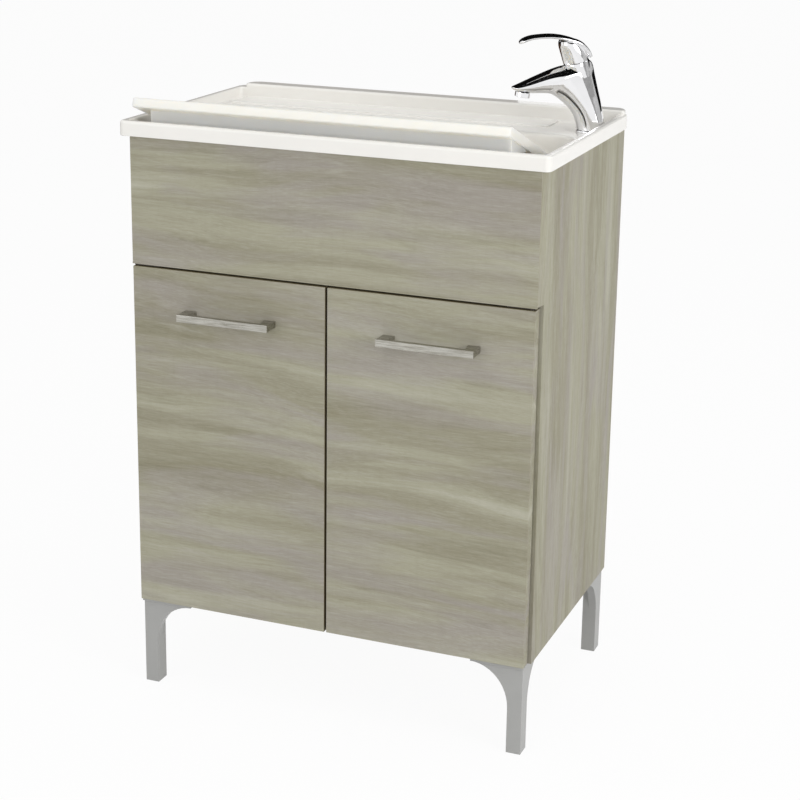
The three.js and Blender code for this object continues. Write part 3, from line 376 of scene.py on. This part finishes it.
def loop_faces(loops, count, closed=True):
    """Quads between loops of count points each, and where closed a face on each end."""
    faces = []
    for k in range(loops - 1):
        for i in range(count):
            a, b = k * count + i, k * count + (i + 1) % count
            faces.append((a, b, b + count, a + count))
    if closed:
        faces.append(tuple(reversed(range(count))))
        faces.append(tuple(range((loops - 1) * count, loops * count)))
    return faces


def round_rect(x0, x1, y0, y1, r, n, rear=None):
    """Points round a rectangle whose corners have the radius r, or the radius rear at the back."""
    q = r if rear is None else rear
    points = []
    corners = (
        (x1 - q, y1 - q, 0, q),
        (x0 + q, y1 - q, 90, q),
        (x0 + r, y0 + r, 180, r),
        (x1 - r, y0 + r, 270, r),
    )
    for cx, cy, start, radius in corners:
        for i in range(n + 1):
            a = math.radians(start + 90 * i / n)
            points.append((cx + radius * math.cos(a), cy + radius * math.sin(a)))
    return points


def quarter(steps, first=0):
    """Sine and cosine over a quarter turn."""
    for i in range(first, steps + 1):
        a = math.radians(90 * i / steps)
        yield math.sin(a), math.cos(a)


# ---- Tub ---------------------------------------------------------------------------------------
tub_low, tub_high = (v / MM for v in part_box("sink_top"))
HALF = tub_high.x
Y0, Y1 = tub_low.y - FRONT / MM, tub_high.y - FRONT / MM
TOP = tub_high.z - 6  # the kerbs' top; the rear upstand rises above it
DECK = TOP - 16.5
SHELL = 4  # wall thickness of the moulding
FLOOR = tub_low.z + SHELL
KERB = HALF - 10  # inner faces of the kerbs, at the sides
RECESS = Y0 + 10  # and in front
LEDGE = Y0 + 40  # the basin's opening: its front
OPEN_BACK = LEDGE + 212
OPEN_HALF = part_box("side_panel_right")[0].x / MM - 7
OPEN_CORNER = 40
UPSTAND = Y1 - 28  # front face of the rear upstand
# The step in the basin's rear wall, just under the washboard's foot.
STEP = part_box("washboard")[0].z / MM - 0.35
STEP_DEPTH = 12
TAPER = 0.105  # how far the basin's walls lean in, per depth
# Radii.
OUTER_ROLL = 3.6  # the rim's outer edge
INNER_ROLL = 2.4  # the kerbs' inner edge
FILLET = 4  # from the kerbs to the deck
BASIN_ROLL = 5  # the basin's edge
FOOT = 20  # from the basin's walls to its floor
WASTE_RADIUS = 26
WASTE_SEAT = 37.2  # the lowered ring under the waste's flange
WASTE_FALL = 60  # the floor falls from here
SEAT_DROP = 0.4


def tub():
    """The moulding as a row of loops, from the deck's underside round the rim through the basin."""
    loops = []

    def ring(half, y0, y1, r, z, rear=None):
        outline = round_rect(-half, half, y0, y1, max(r, 0.6), 12, rear)
        loops.append([at(x, y, z) for x, y in outline])

    def inset(d, z):
        ring(HALF - d, Y0 + d, Y1 - d, 8 - d, z, 22 - d)

    # Underside of the deck, inside of the skirt, skirt, rolled outer edge.
    ring(OPEN_HALF + SHELL, LEDGE - SHELL, OPEN_BACK + SHELL, OPEN_CORNER + SHELL, DECK - SHELL)
    inset(SHELL, DECK - SHELL)
    inset(SHELL, DECK - SHELL)
    for d, below in ((3.2, 4.5), (0.7, 4.5), (0.15, 4.2), (0, 3.6)):
        inset(d, DECK - below)
    inset(0, TOP - OUTER_ROLL)
    for s, c in quarter(8, 1):
        inset(OUTER_ROLL * (1 - c), TOP - OUTER_ROLL + OUTER_ROLL * s)
    # Kerb top, inner edge, wall and fillet to the deck.
    for s, c in quarter(6):
        d = INNER_ROLL * s
        z = TOP - INNER_ROLL * (1 - c)
        ring(KERB + INNER_ROLL - d, RECESS - INNER_ROLL + d, UPSTAND + INNER_ROLL - d, 6, z)
    for s, c in quarter(6):
        d = FILLET * (1 - c)
        ring(KERB - 0.6 - d, RECESS + 0.6 + d, UPSTAND - 0.6 - d, 6, DECK + FILLET - FILLET * s)
    # Edge of the basin.
    for s, c in quarter(6):
        d = BASIN_ROLL * s
        z = DECK - BASIN_ROLL * (1 - c)
        half = OPEN_HALF + BASIN_ROLL - d
        corner = OPEN_CORNER + BASIN_ROLL - d
        ring(half, LEDGE - BASIN_ROLL + d, OPEN_BACK + BASIN_ROLL - d, corner, z)

    def wall(z, out=0.0, back=0.0, extra=0.0):
        d = (DECK - z) * TAPER + extra - out
        ring(OPEN_HALF - d, LEDGE + d, OPEN_BACK - d - back, OPEN_CORNER - d, z)

    wall(DECK - 12)
    wall(STEP + 5)
    for s, c in quarter(5, 1):
        wall(STEP + 4 - 4 * s, back=4 * (1 - c))
    for s, c in quarter(5, 1):
        wall(STEP - 3 * (1 - c), back=STEP_DEPTH - 3 + 3 * s)
    wall(STEP - 12, back=STEP_DEPTH)
    wall(FLOOR + 30, back=STEP_DEPTH)
    for s, c in quarter(8):
        wall(FLOOR + FOOT - FOOT * s, back=STEP_DEPTH, extra=FOOT * (1 - c))
    # Floor, falling a little to the waste, and the waste hole.
    drain = (LEDGE + OPEN_BACK) / 2 + 5
    outline = loops[-1]

    def disc(radius, z):
        points = []
        for p in outline:
            a = math.atan2(p.y - at(0, drain, 0).y, p.x)
            points.append(at(radius * math.cos(a), drain + radius * math.sin(a), z))
        loops.append(points)

    disc(WASTE_FALL, FLOOR)
    disc(WASTE_SEAT, FLOOR - SEAT_DROP)
    disc(WASTE_RADIUS, FLOOR - SEAT_DROP)
    disc(WASTE_RADIUS, FLOOR - SHELL)
    disc(WASTE_FALL, FLOOR - SHELL)
    # Outside of the basin, up to the deck's underside.
    for s, c in quarter(4):
        wall(FLOOR + 18 - 22 * c, out=SHELL, back=STEP_DEPTH, extra=FOOT * (1 - s))
    wall(STEP - 5, out=SHELL, back=STEP_DEPTH)
    wall(STEP - 4, out=SHELL)
    wall(DECK - SHELL, out=SHELL)
    count = len(loops[0])
    verts = [v for loop in loops for v in loop]
    faces = loop_faces(len(loops), count, closed=False)
    last = (len(loops) - 1) * count
    faces += [(last + i, last + (i + 1) % count, (i + 1) % count, i) for i in range(count)]
    return verts, faces


def block(x0, x1, y0, y1, z0, z1, r, edge, rear=None):
    """A low block with round corners and a rolled top edge."""
    loops = [[at(x, y, z0) for x, y in round_rect(x0, x1, y0, y1, r, 8, rear)]]
    for s, c in quarter(6):
        d = edge * (1 - c)
        z = z1 - edge + edge * s
        corner = max(r - d, 0.4)
        back = None if rear is None else rear - d
        outline = round_rect(x0 + d, x1 - d, y0 + d, y1 - d, corner, 8, back)
        loops.append([at(x, y, z) for x, y in outline])
    return [v for loop in loops for v in loop], loop_faces(len(loops), len(loops[0]))


def merged(*parts):
    """Several meshes as one."""
    verts, faces = [], []
    for v, f in parts:
        base = len(verts)
        verts += list(v)
        faces += [tuple(i + base for i in face) for face in f]
    return verts, faces


rear_upstand = block(-HALF + 18, HALF - 3, UPSTAND, Y1, TOP - 5, TOP + 6, 4, 3.2, rear=19)
deck_step = block(-KERB + 9, 212, UPSTAND - 56, UPSTAND + 3, DECK - 2, DECK + 2.4, 7, 2)
tub_mesh = merged(tub(), rear_upstand, deck_step)
weighted(piece("tub", tub_mesh, TUB, "cabinet", ("sink_top",), 40))

# ---- Cabinet -----------------------------------------------------------------------------------
for node, material in {
    "side_panel_left": WOOD_Z,
    "side_panel_right": WOOD_Z,
    "bottom_panel": WOOD_X,
    "back_panel": WOOD_Z,
    "front_rail": WOOD_X,
    "rear_rail": WOOD_X,
    "front_panel": WOOD_X,
    "door_left": WOOD_DOOR_LEFT,
    "door_right": WOOD_DOOR_RIGHT,
}.items():
    dress(node, material, 0.35)


def prism(outline, z0, z1):
    """An upright prism from an outline in X and Y."""
    count = len(outline)
    return [at(x, y, z) for z in (z0, z1) for x, y in outline], loop_faces(2, count)


fixed_low, fixed_high = (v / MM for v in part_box("front_panel"))
side_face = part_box("side_panel_right")[1].x / MM
fixed_back = fixed_high.y - FRONT / MM
STRIP_FRONT = 2.6
for side, s in (("left", -1), ("right", 1)):
    # A bevelled strip from the fixed front's end to the side board's outer face.
    inner = s * (fixed_high.x - 0.2)
    outline = [
        (inner, STRIP_FRONT),
        (s * fixed_high.x, STRIP_FRONT),
        (s * (side_face - 0.05), fixed_back - 0.1),
        (inner, fixed_back - 0.1),
    ]
    strip = prism(outline, fixed_low.z + 0.1, fixed_high.z - 0.1)
    piece("end_strip_" + side, strip, WOOD_Z, "cabinet")
# The fixed front's lower edge band, in front of the pivot plates.
BAND_FRONT, BAND_BACK = 2.02, 2.9
outline = [
    (fixed_low.x, BAND_FRONT),
    (fixed_high.x, BAND_FRONT),
    (fixed_high.x, BAND_BACK),
    (fixed_low.x, BAND_BACK),
]
band = prism(outline, fixed_low.z - 1.6, fixed_low.z + 0.4)
piece("edge_band", band, WOOD_X, "cabinet")

for side in ("left", "right"):
    dress("leg_front_" + side, SATIN, 1.6, 3)
    dress("leg_rear_" + side, SATIN, 1.6, 3)
    dress("handle_" + side, NICKEL, 0.8, 3)
    dress("magnetic_catch_" + side, WHITE, 1.0)
    dress("pivot_plate_lower_" + side, SATIN, 0.4)
    dress("leg_plate_rear_" + side, SATIN, 0.4)
    # The upper pivot plates carry painted shade for the gap they sit in.
    dress("pivot_plate_upper_" + side, GAP_SHADE_PLATE, 0.4)
    dress("catch_plate_" + side, STEEL, 0.4)
    for end in ("lower_", "upper_"):
        dress("pivot_pin_" + end + side, STEEL, 0.3)
        dress("pivot_bush_" + end + side, WHITE, 0.3)
dress("washboard", WASHBOARD, 1.4, 3)

# ---- Mixer -------------------------------------------------------------------------------------
# The mixer's own frame: its foot at the origin and its spout along X.
ring_low, ring_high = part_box("faucet_base_ring")
FOOT_CENTRE = ((ring_low.x + ring_high.x) / 2, (ring_low.y + ring_high.y) / 2, ring_low.z)
MIXER = Matrix.Translation(FOOT_CENTRE) @ Matrix.Rotation(math.radians(216), 4, "Z")
# The head's frame in it: the seam's centre at the origin and the cartridge's tilted axis along Z.
SEAM_CENTRE = (0.0256, 0, 0.0991)
TILT = Matrix.Translation(SEAM_CENTRE) @ Matrix.Rotation(math.radians(14.3), 4, "Y")
HEAD = MIXER @ TILT


def smooth_path(stations, steps):
    """Catmull-Rom through rows of numbers."""
    out = []
    n = len(stations)
    for k in range(n - 1):
        p0, p1 = stations[max(k - 1, 0)], stations[k]
        p2, p3 = stations[k + 1], stations[min(k + 2, n - 1)]
        for j in range(steps):
            t = j / steps
            out.append([
                0.5 * (
                    2 * b
                    + (c - a) * t
                    + (2 * a - 5 * b + 4 * c - d) * t * t
                    + (3 * b - a - 3 * c + d) * t ** 3
                )
                for a, b, c, d in zip(p0, p1, p2, p3)
            ])
    out.append(list(stations[-1]))
    return out


STEPS = 4  # rows made between two given ones


def section(count, power_ahead, power_behind, facets):
    """A unit oval between a circle and a square, as pairs ahead and across.

    Each facet cuts the oval where ahead and across, so weighted, add up to more than its limit.
    """
    for i in range(count):
        a = 2 * math.pi * i / count
        c, s = math.cos(a), math.sin(a)
        power = power_ahead if c > 0 else power_behind
        ahead = math.copysign(abs(c) ** (2 / power), c)
        across = math.copysign(abs(s) ** (2 / power), s)
        for weight_ahead, weight_across, limit in facets:
            reach = weight_ahead * ahead + weight_across * abs(across)
            if reach > limit:
                ahead, across = ahead * limit / reach, across * limit / reach
        yield ahead, across


def swept(stations, count=40, facets=()):
    """Closed sections between an upper and a lower side line.

    Each station has the upper line's x and z, the lower line's x and z, half the width, and the
    powers of the section's upper and lower half.
    """
    verts = []
    rows = smooth_path(stations, STEPS)
    for top_x, top_z, low_x, low_z, half, top_power, low_power in rows:
        x, z = (top_x + low_x) / 2, (top_z + low_z) / 2
        for k, w in section(count, top_power, low_power, facets):
            along, up = x + (top_x - low_x) / 2 * k, z + (top_z - low_z) / 2 * k
            verts.append(Vector((along * MM, w * half * MM, up * MM)))
    return verts, loop_faces(len(rows), count)


def lathed(profile, count=48):
    """A solid turned about Z from pairs of radius and height."""
    verts = []
    for r, z in profile:
        for i in range(count):
            a = 2 * math.pi * i / count
            verts.append(Vector((r * MM * math.cos(a), r * MM * math.sin(a), z * MM)))
    return verts, loop_faces(len(profile), count)


def placed(part, matrix):
    verts, faces = part
    return [matrix @ v for v in verts], faces


# Sections of the body from the foot's rear to the spout's tip, as swept() reads them.
BODY = [
    (-20, 4, 20, 4, 20, 2.2, 2.2),
    (-18.6, 13, 21.9, 12, 19.4, 2.3, 2.1),
    (-15, 28.5, 26.4, 23.5, 18.6, 2.5, 2.0),
    (-10.6, 45.8, 33.5, 33.6, 18.2, 2.8, 2.0),
    (-6, 63.5, 42.8, 42.6, 18, 3.0, 2.0),
    (-1.2, 82, 52, 49.6, 18, 3.0, 2.0),
    (2.6, 96, 58.6, 53.6, 18, 3.0, 2.1),
    (8.5, 101.5, 63, 55.2, 18, 3.0, 2.1),
    (22, 98.4, 66, 55.8, 17.9, 3.0, 2.1),
    (38, 94.6, 69, 56.0, 17.5, 2.9, 2.1),
    (47, 93.2, 72, 56.2, 16.9, 2.7, 2.1),
    (58, 90.2, 77, 56.3, 16, 2.6, 2.1),
    (69, 86.2, 83.8, 56.3, 15.2, 2.5, 2.1),
    (82, 81, 90, 56.6, 14.4, 2.5, 2.2),
    (95, 75.4, 98, 57.4, 13.6, 2.5, 2.3),
    (105, 71.1, 105.5, 58.4, 12.4, 2.4, 2.3),
    (112.5, 68, 111.5, 59.8, 10.2, 2.3, 2.3),
    (116.4, 66.4, 115, 61.4, 6.8, 2.2, 2.2),
    (118.2, 65.2, 117.6, 63.6, 1.6, 2.0, 2.0),
]
BODY_FACETS = ((0.6, 1, 1.17), (1, 0.6, 1.16))
COLLAR = [(12.9, -22), (17.6, -22), (18.1, -6), (18.1, -0.9), (17.8, -0.3), (17.2, 0), (12.9, 0)]
body_mesh = placed(merged(swept(BODY, 72, BODY_FACETS), placed(lathed(COLLAR), TILT)), MIXER)
piece("faucet_shell", body_mesh, CHROME, "cabinet", ("faucet_body",), 50)

# Sections of the lever's blade from the head to its tip, as swept() reads them.
BLADE = [
    (5.2, 103.6, 10.4, 103.0, 14.8, 2.4, 2.2),
    (5.6, 107.4, 11.4, 107.2, 15.6, 2.5, 2.2),
    (10, 116.1, 15.6, 113.6, 17.2, 2.6, 2.2),
    (17.5, 124.3, 22.4, 119.6, 18.4, 2.7, 2.2),
    (28.2, 130.5, 31.4, 124.6, 18.8, 2.7, 2.2),
    (44.2, 135.2, 45.4, 128.0, 18.2, 2.6, 2.2),
    (59.9, 137.4, 59.4, 130.6, 16.8, 2.5, 2.2),
    (75.5, 137.3, 75, 131.4, 15, 2.4, 2.2),
    (91.2, 135.9, 89.6, 130.2, 13, 2.3, 2.2),
    (100.8, 133.2, 98.8, 127.8, 11, 2.3, 2.2),
    (106.2, 130.6, 104.2, 125.4, 8.6, 2.2, 2.2),
    (109, 127.8, 107.4, 124.6, 4.8, 2.0, 2.0),
    (109.4, 126.4, 108.6, 125.4, 1.4, 2.0, 2.0),
]


SEAM_GAP = 0.3
# Height, rear, front, half width and power of the head's sections, in the head's frame.
HEAD_ROWS = [
    (SEAM_GAP, -17.9, 17.9, 17.8, 2.0),
    (1.2, -18.3, 18.2, 18.2, 2.0),
    (10, -19.4, 18.6, 18.4, 2.15),
    (20, -17, 19.2, 18, 2.3),
    (28, -10, 19.2, 16.8, 2.4),
    (33, -2, 17.4, 14, 2.4),
]
HEAD_FACETS = ((-0.6, 1, 1.12), (-1, 0.6, 1.1))


def head_block(count=64):
    """The lever's head: round at the seam, with a flatter front further up."""
    verts = []
    rows = smooth_path(HEAD_ROWS, STEPS)
    for height, rear, front, half, power in rows:
        for k, w in section(count, power, power, HEAD_FACETS):
            x = (rear + front) / 2 + (front - rear) / 2 * k
            verts.append(Vector((x * MM, half * w * MM, height * MM)))
    return verts, loop_faces(len(rows), count)


HEEL_START = -10.0  # the cut begins so far behind the axis
HEEL_SLOPE = math.tan(math.radians(19.5))  # a little more than the lever's lift


def relieved(verts, faces):
    """A solid in the head's frame, its heel cut away behind the pivot, so that it can tip back."""
    bm = bmesh.new()
    made = [bm.verts.new(v) for v in verts]
    for face in faces:
        bm.faces.new([made[i] for i in face])
    normal = Vector((HEEL_SLOPE, 0, 1)).normalized()
    cut = bmesh.ops.bisect_plane(
        bm,
        geom=bm.verts[:] + bm.edges[:] + bm.faces[:],
        dist=1e-7,
        plane_co=(HEEL_START * MM, 0, SEAM_GAP * MM),
        plane_no=normal,
        clear_inner=True,
    )
    rim = [e for e in cut["geom_cut"] if isinstance(e, bmesh.types.BMEdge)]
    bmesh.ops.holes_fill(bm, edges=rim, sides=0)
    bm.verts.index_update()
    result = [v.co.copy() for v in bm.verts], [tuple(v.index for v in f.verts) for f in bm.faces]
    bm.free()
    return result


blade = relieved(*placed(swept(BLADE), TILT.inverted()))
lever_mesh = placed(merged(blade, relieved(*head_block())), HEAD)
piece("lever_blade", lever_mesh, CHROME, "lever", ("lever_handle",), 50)
dress("faucet_base_ring", CHROME, 0.5, 3)
dress("aerator", CHROME, 0.4)
dress("cartridge", WHITE, 0.4)
for node in ("cartridge_nut", "lever_seat", "lever_pin"):
    dress(node, STEEL, 0.4)
for node in ("mounting_stud", "clamp_plate", "mounting_nut"):
    dress(node, STEEL, 0.4)

# ---- Waste -------------------------------------------------------------------------------------
dress("drain_flange", CHROME, 0.5)
dress("plug", RUBBER, 0.6)
dress("drain_gasket", RUBBER, 0.5)
dress("drain_nut", STEEL, 0.6)
WASTE = ("tail_pipe", "tail_nut", "trap_body", "trap_top_nut", "outlet_pipe", "trap_outlet_nut")
for node in WASTE:
    dress(node, WHITE, 0.7)
dress("trap_cup", GREY, 0.8)

# ---- Floor, light and camera -------------------------------------------------------------------
def neutral(value):
    """A colour without a hue."""
    return (value, value, value, 1)


def sheet(name, corners):
    """A single flat face, in metres."""
    mesh = bpy.data.meshes.new(name)
    mesh.from_pydata(corners, [], [tuple(range(len(corners)))])
    return added(name, mesh)


floor = sheet("floor", [(-30, -30, 0), (30, -30, 0), (30, 30, 0), (-30, 30, 0)])
f = Shader("floor_white")
cloud = f.spread(f.noise(f.coords, 3.0, 2.0), 0.0, 1.0)
f.link(f.mix("MIX", cloud, neutral(0.93), neutral(0.91)), f.bsdf.inputs["Base Color"])
f.set(Roughness=0.9, Specular_IOR_Level=0.0)


FLOOR_GLOW = 0.94  # the share of plain white in the floor as it is seen; the rest keeps the shadow
SKY_LIGHT = 0.54  # the studio's level as it falls on the object


def seen(tree):
    """1 for the rays that see a white studio: from the camera, and through gloss or glass."""
    path = tree.nodes.new("ShaderNodeLightPath")
    total = path.outputs["Is Camera Ray"]
    for name in ("Is Glossy Ray", "Is Transmission Ray"):
        add = tree.nodes.new("ShaderNodeMath")
        add.operation = "MAXIMUM"
        tree.links.new(total, add.inputs[0])
        tree.links.new(path.outputs[name], add.inputs[1])
        total = add.outputs["Value"]
    return total


glow = f.node("ShaderNodeEmission")
glow.inputs["Color"].default_value = neutral(1)
glow.inputs["Strength"].default_value = 1.0
blend = f.node("ShaderNodeMixShader")
f.link(f.math("MULTIPLY", seen(f.tree), FLOOR_GLOW), blend.inputs["Fac"])
f.link(f.bsdf.outputs["BSDF"], blend.inputs[1])
f.link(glow.outputs["Emission"], blend.inputs[2])
f.link(blend.outputs["Shader"], f.tree.nodes["Material Output"].inputs["Surface"])
paint(floor, f.material)

world = bpy.data.worlds.new("studio")
bpy.context.scene.world = world
world.use_nodes = True
sky = world.node_tree
background = sky.nodes["Background"]
background.inputs["Color"].default_value = neutral(1)
level = sky.nodes.new("ShaderNodeMapRange")
level.inputs["To Min"].default_value = SKY_LIGHT
level.inputs["To Max"].default_value = 1.0
sky.links.new(seen(sky), level.inputs["Value"])
sky.links.new(level.outputs["Result"], background.inputs["Strength"])


def softbox(name, location, target, size, power):
    data = bpy.data.lights.new(name, "AREA")
    data.shape = "RECTANGLE"
    data.size, data.size_y = size
    data.energy = power
    obj = added(name, data)
    obj.location = location
    obj.rotation_euler = (Vector(target) - Vector(location)).to_track_quat("-Z", "Y").to_euler()


def card(name, corners, color):
    """A card that only glossy rays meet, so that polished metal has a dark room to reflect."""
    obj = sheet(name, corners)
    c = Shader(name)
    c.set(Base_Color=color, Roughness=0.9, Specular_IOR_Level=0.0)
    paint(obj, c.material)
    obj.visible_camera = obj.visible_diffuse = obj.visible_shadow = obj.visible_transmission = False


def upright(x0, x1, z0, z1, y):
    """The corners of a card that faces the front."""
    return [(x0, y, z0), (x1, y, z0), (x1, y, z1), (x0, y, z1)]


BLACK_CARD, GREY_CARD, BROWN_CARD = neutral(0.004), neutral(0.5), srgb(74, 52, 40)
# All in metres. The cards' plane lies behind the mixer.
CARD_Y = 0.26
CARD_LEFT, CARD_RIGHT = -0.6, 1.2
CARD_LOW, CARD_TOP = 0.85, 1.7
NECK_TOP = 0.93  # the black card starts above this line, left of BLACK_START
BLACK_START, BLACK_END = 0.22, 0.41
LOW_CARD_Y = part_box("back_panel")[1].y + 0.3
card("card_back", [
    (CARD_LEFT, CARD_Y, NECK_TOP),
    (BLACK_START, CARD_Y, NECK_TOP),
    (BLACK_START, CARD_Y, CARD_LOW),
    (BLACK_END, CARD_Y, CARD_LOW),
    (BLACK_END, CARD_Y, CARD_TOP),
    (CARD_LEFT, CARD_Y, CARD_TOP),
], BLACK_CARD)
card("card_side", upright(BLACK_END, CARD_RIGHT, CARD_LOW, CARD_TOP, CARD_Y), GREY_CARD)
card("card_neck", upright(CARD_LEFT, 0.12, CARD_LOW, NECK_TOP, CARD_Y), BROWN_CARD)
card("card_far", [
    (CARD_RIGHT, CARD_Y, CARD_LOW),
    (CARD_RIGHT, -0.25, CARD_LOW),
    (CARD_RIGHT, -0.25, CARD_TOP),
    (CARD_RIGHT, CARD_Y, CARD_TOP),
], GREY_CARD)
card("card_top", [
    (CARD_LEFT, CARD_Y, CARD_TOP),
    (1.5, CARD_Y, CARD_TOP),
    (1.5, -1.0, CARD_TOP),
    (CARD_LEFT, -1.0, CARD_TOP),
], BLACK_CARD)
card("card_low", upright(-3, -0.1, 0, CARD_LOW, LOW_CARD_Y), BROWN_CARD)
# Each lamp: where it stands and what it faces in metres, its width and height, and its watts.
softbox("key", (3.2, -1.5, 1.5), (0, 0, 0.55), (1.6, 1.4), 46)
softbox("top", (0.3, -0.6, 3.4), (0, 0, 0.8), (1.6, 1.6), 22)
softbox("fill", (-1.4, -3.2, 1.3), (0, 0, 0.5), (2.0, 1.4), 19)

# The camera, as it was fitted to the photograph's framing of 800 by 800 pixels.
PICTURE = 800
FOCAL = 1872.7  # in pixels
SHIFT_Y = -75  # in pixels
CAMERA_PLACE = at(986.1, -2232.2, 1267.4)
AZIMUTH, ELEVATION, ROLL = 21.483, 15.602, -0.833
SENSOR = 36

camera_data = bpy.data.cameras.new("camera")
camera = added("camera", camera_data)
az, el, roll = (math.radians(v) for v in (AZIMUTH, ELEVATION, ROLL))
forward = Vector((-math.sin(az) * math.cos(el), math.cos(az) * math.cos(el), -math.sin(el)))
right = forward.cross(Vector((0, 0, 1))).normalized()
down = forward.cross(right)
across = math.cos(roll) * right + math.sin(roll) * down
below = -math.sin(roll) * right + math.cos(roll) * down
axes = Matrix((across, -below, -forward)).transposed()
camera.matrix_world = Matrix.Translation(CAMERA_PLACE) @ axes.to_4x4()
camera_data.sensor_width = SENSOR
camera_data.lens = SENSOR * FOCAL / PICTURE
camera_data.shift_y = SHIFT_Y / PICTURE
camera_data.clip_end = 100
bpy.context.scene.camera = camera
bpy.context.scene.view_settings.view_transform = "Standard"
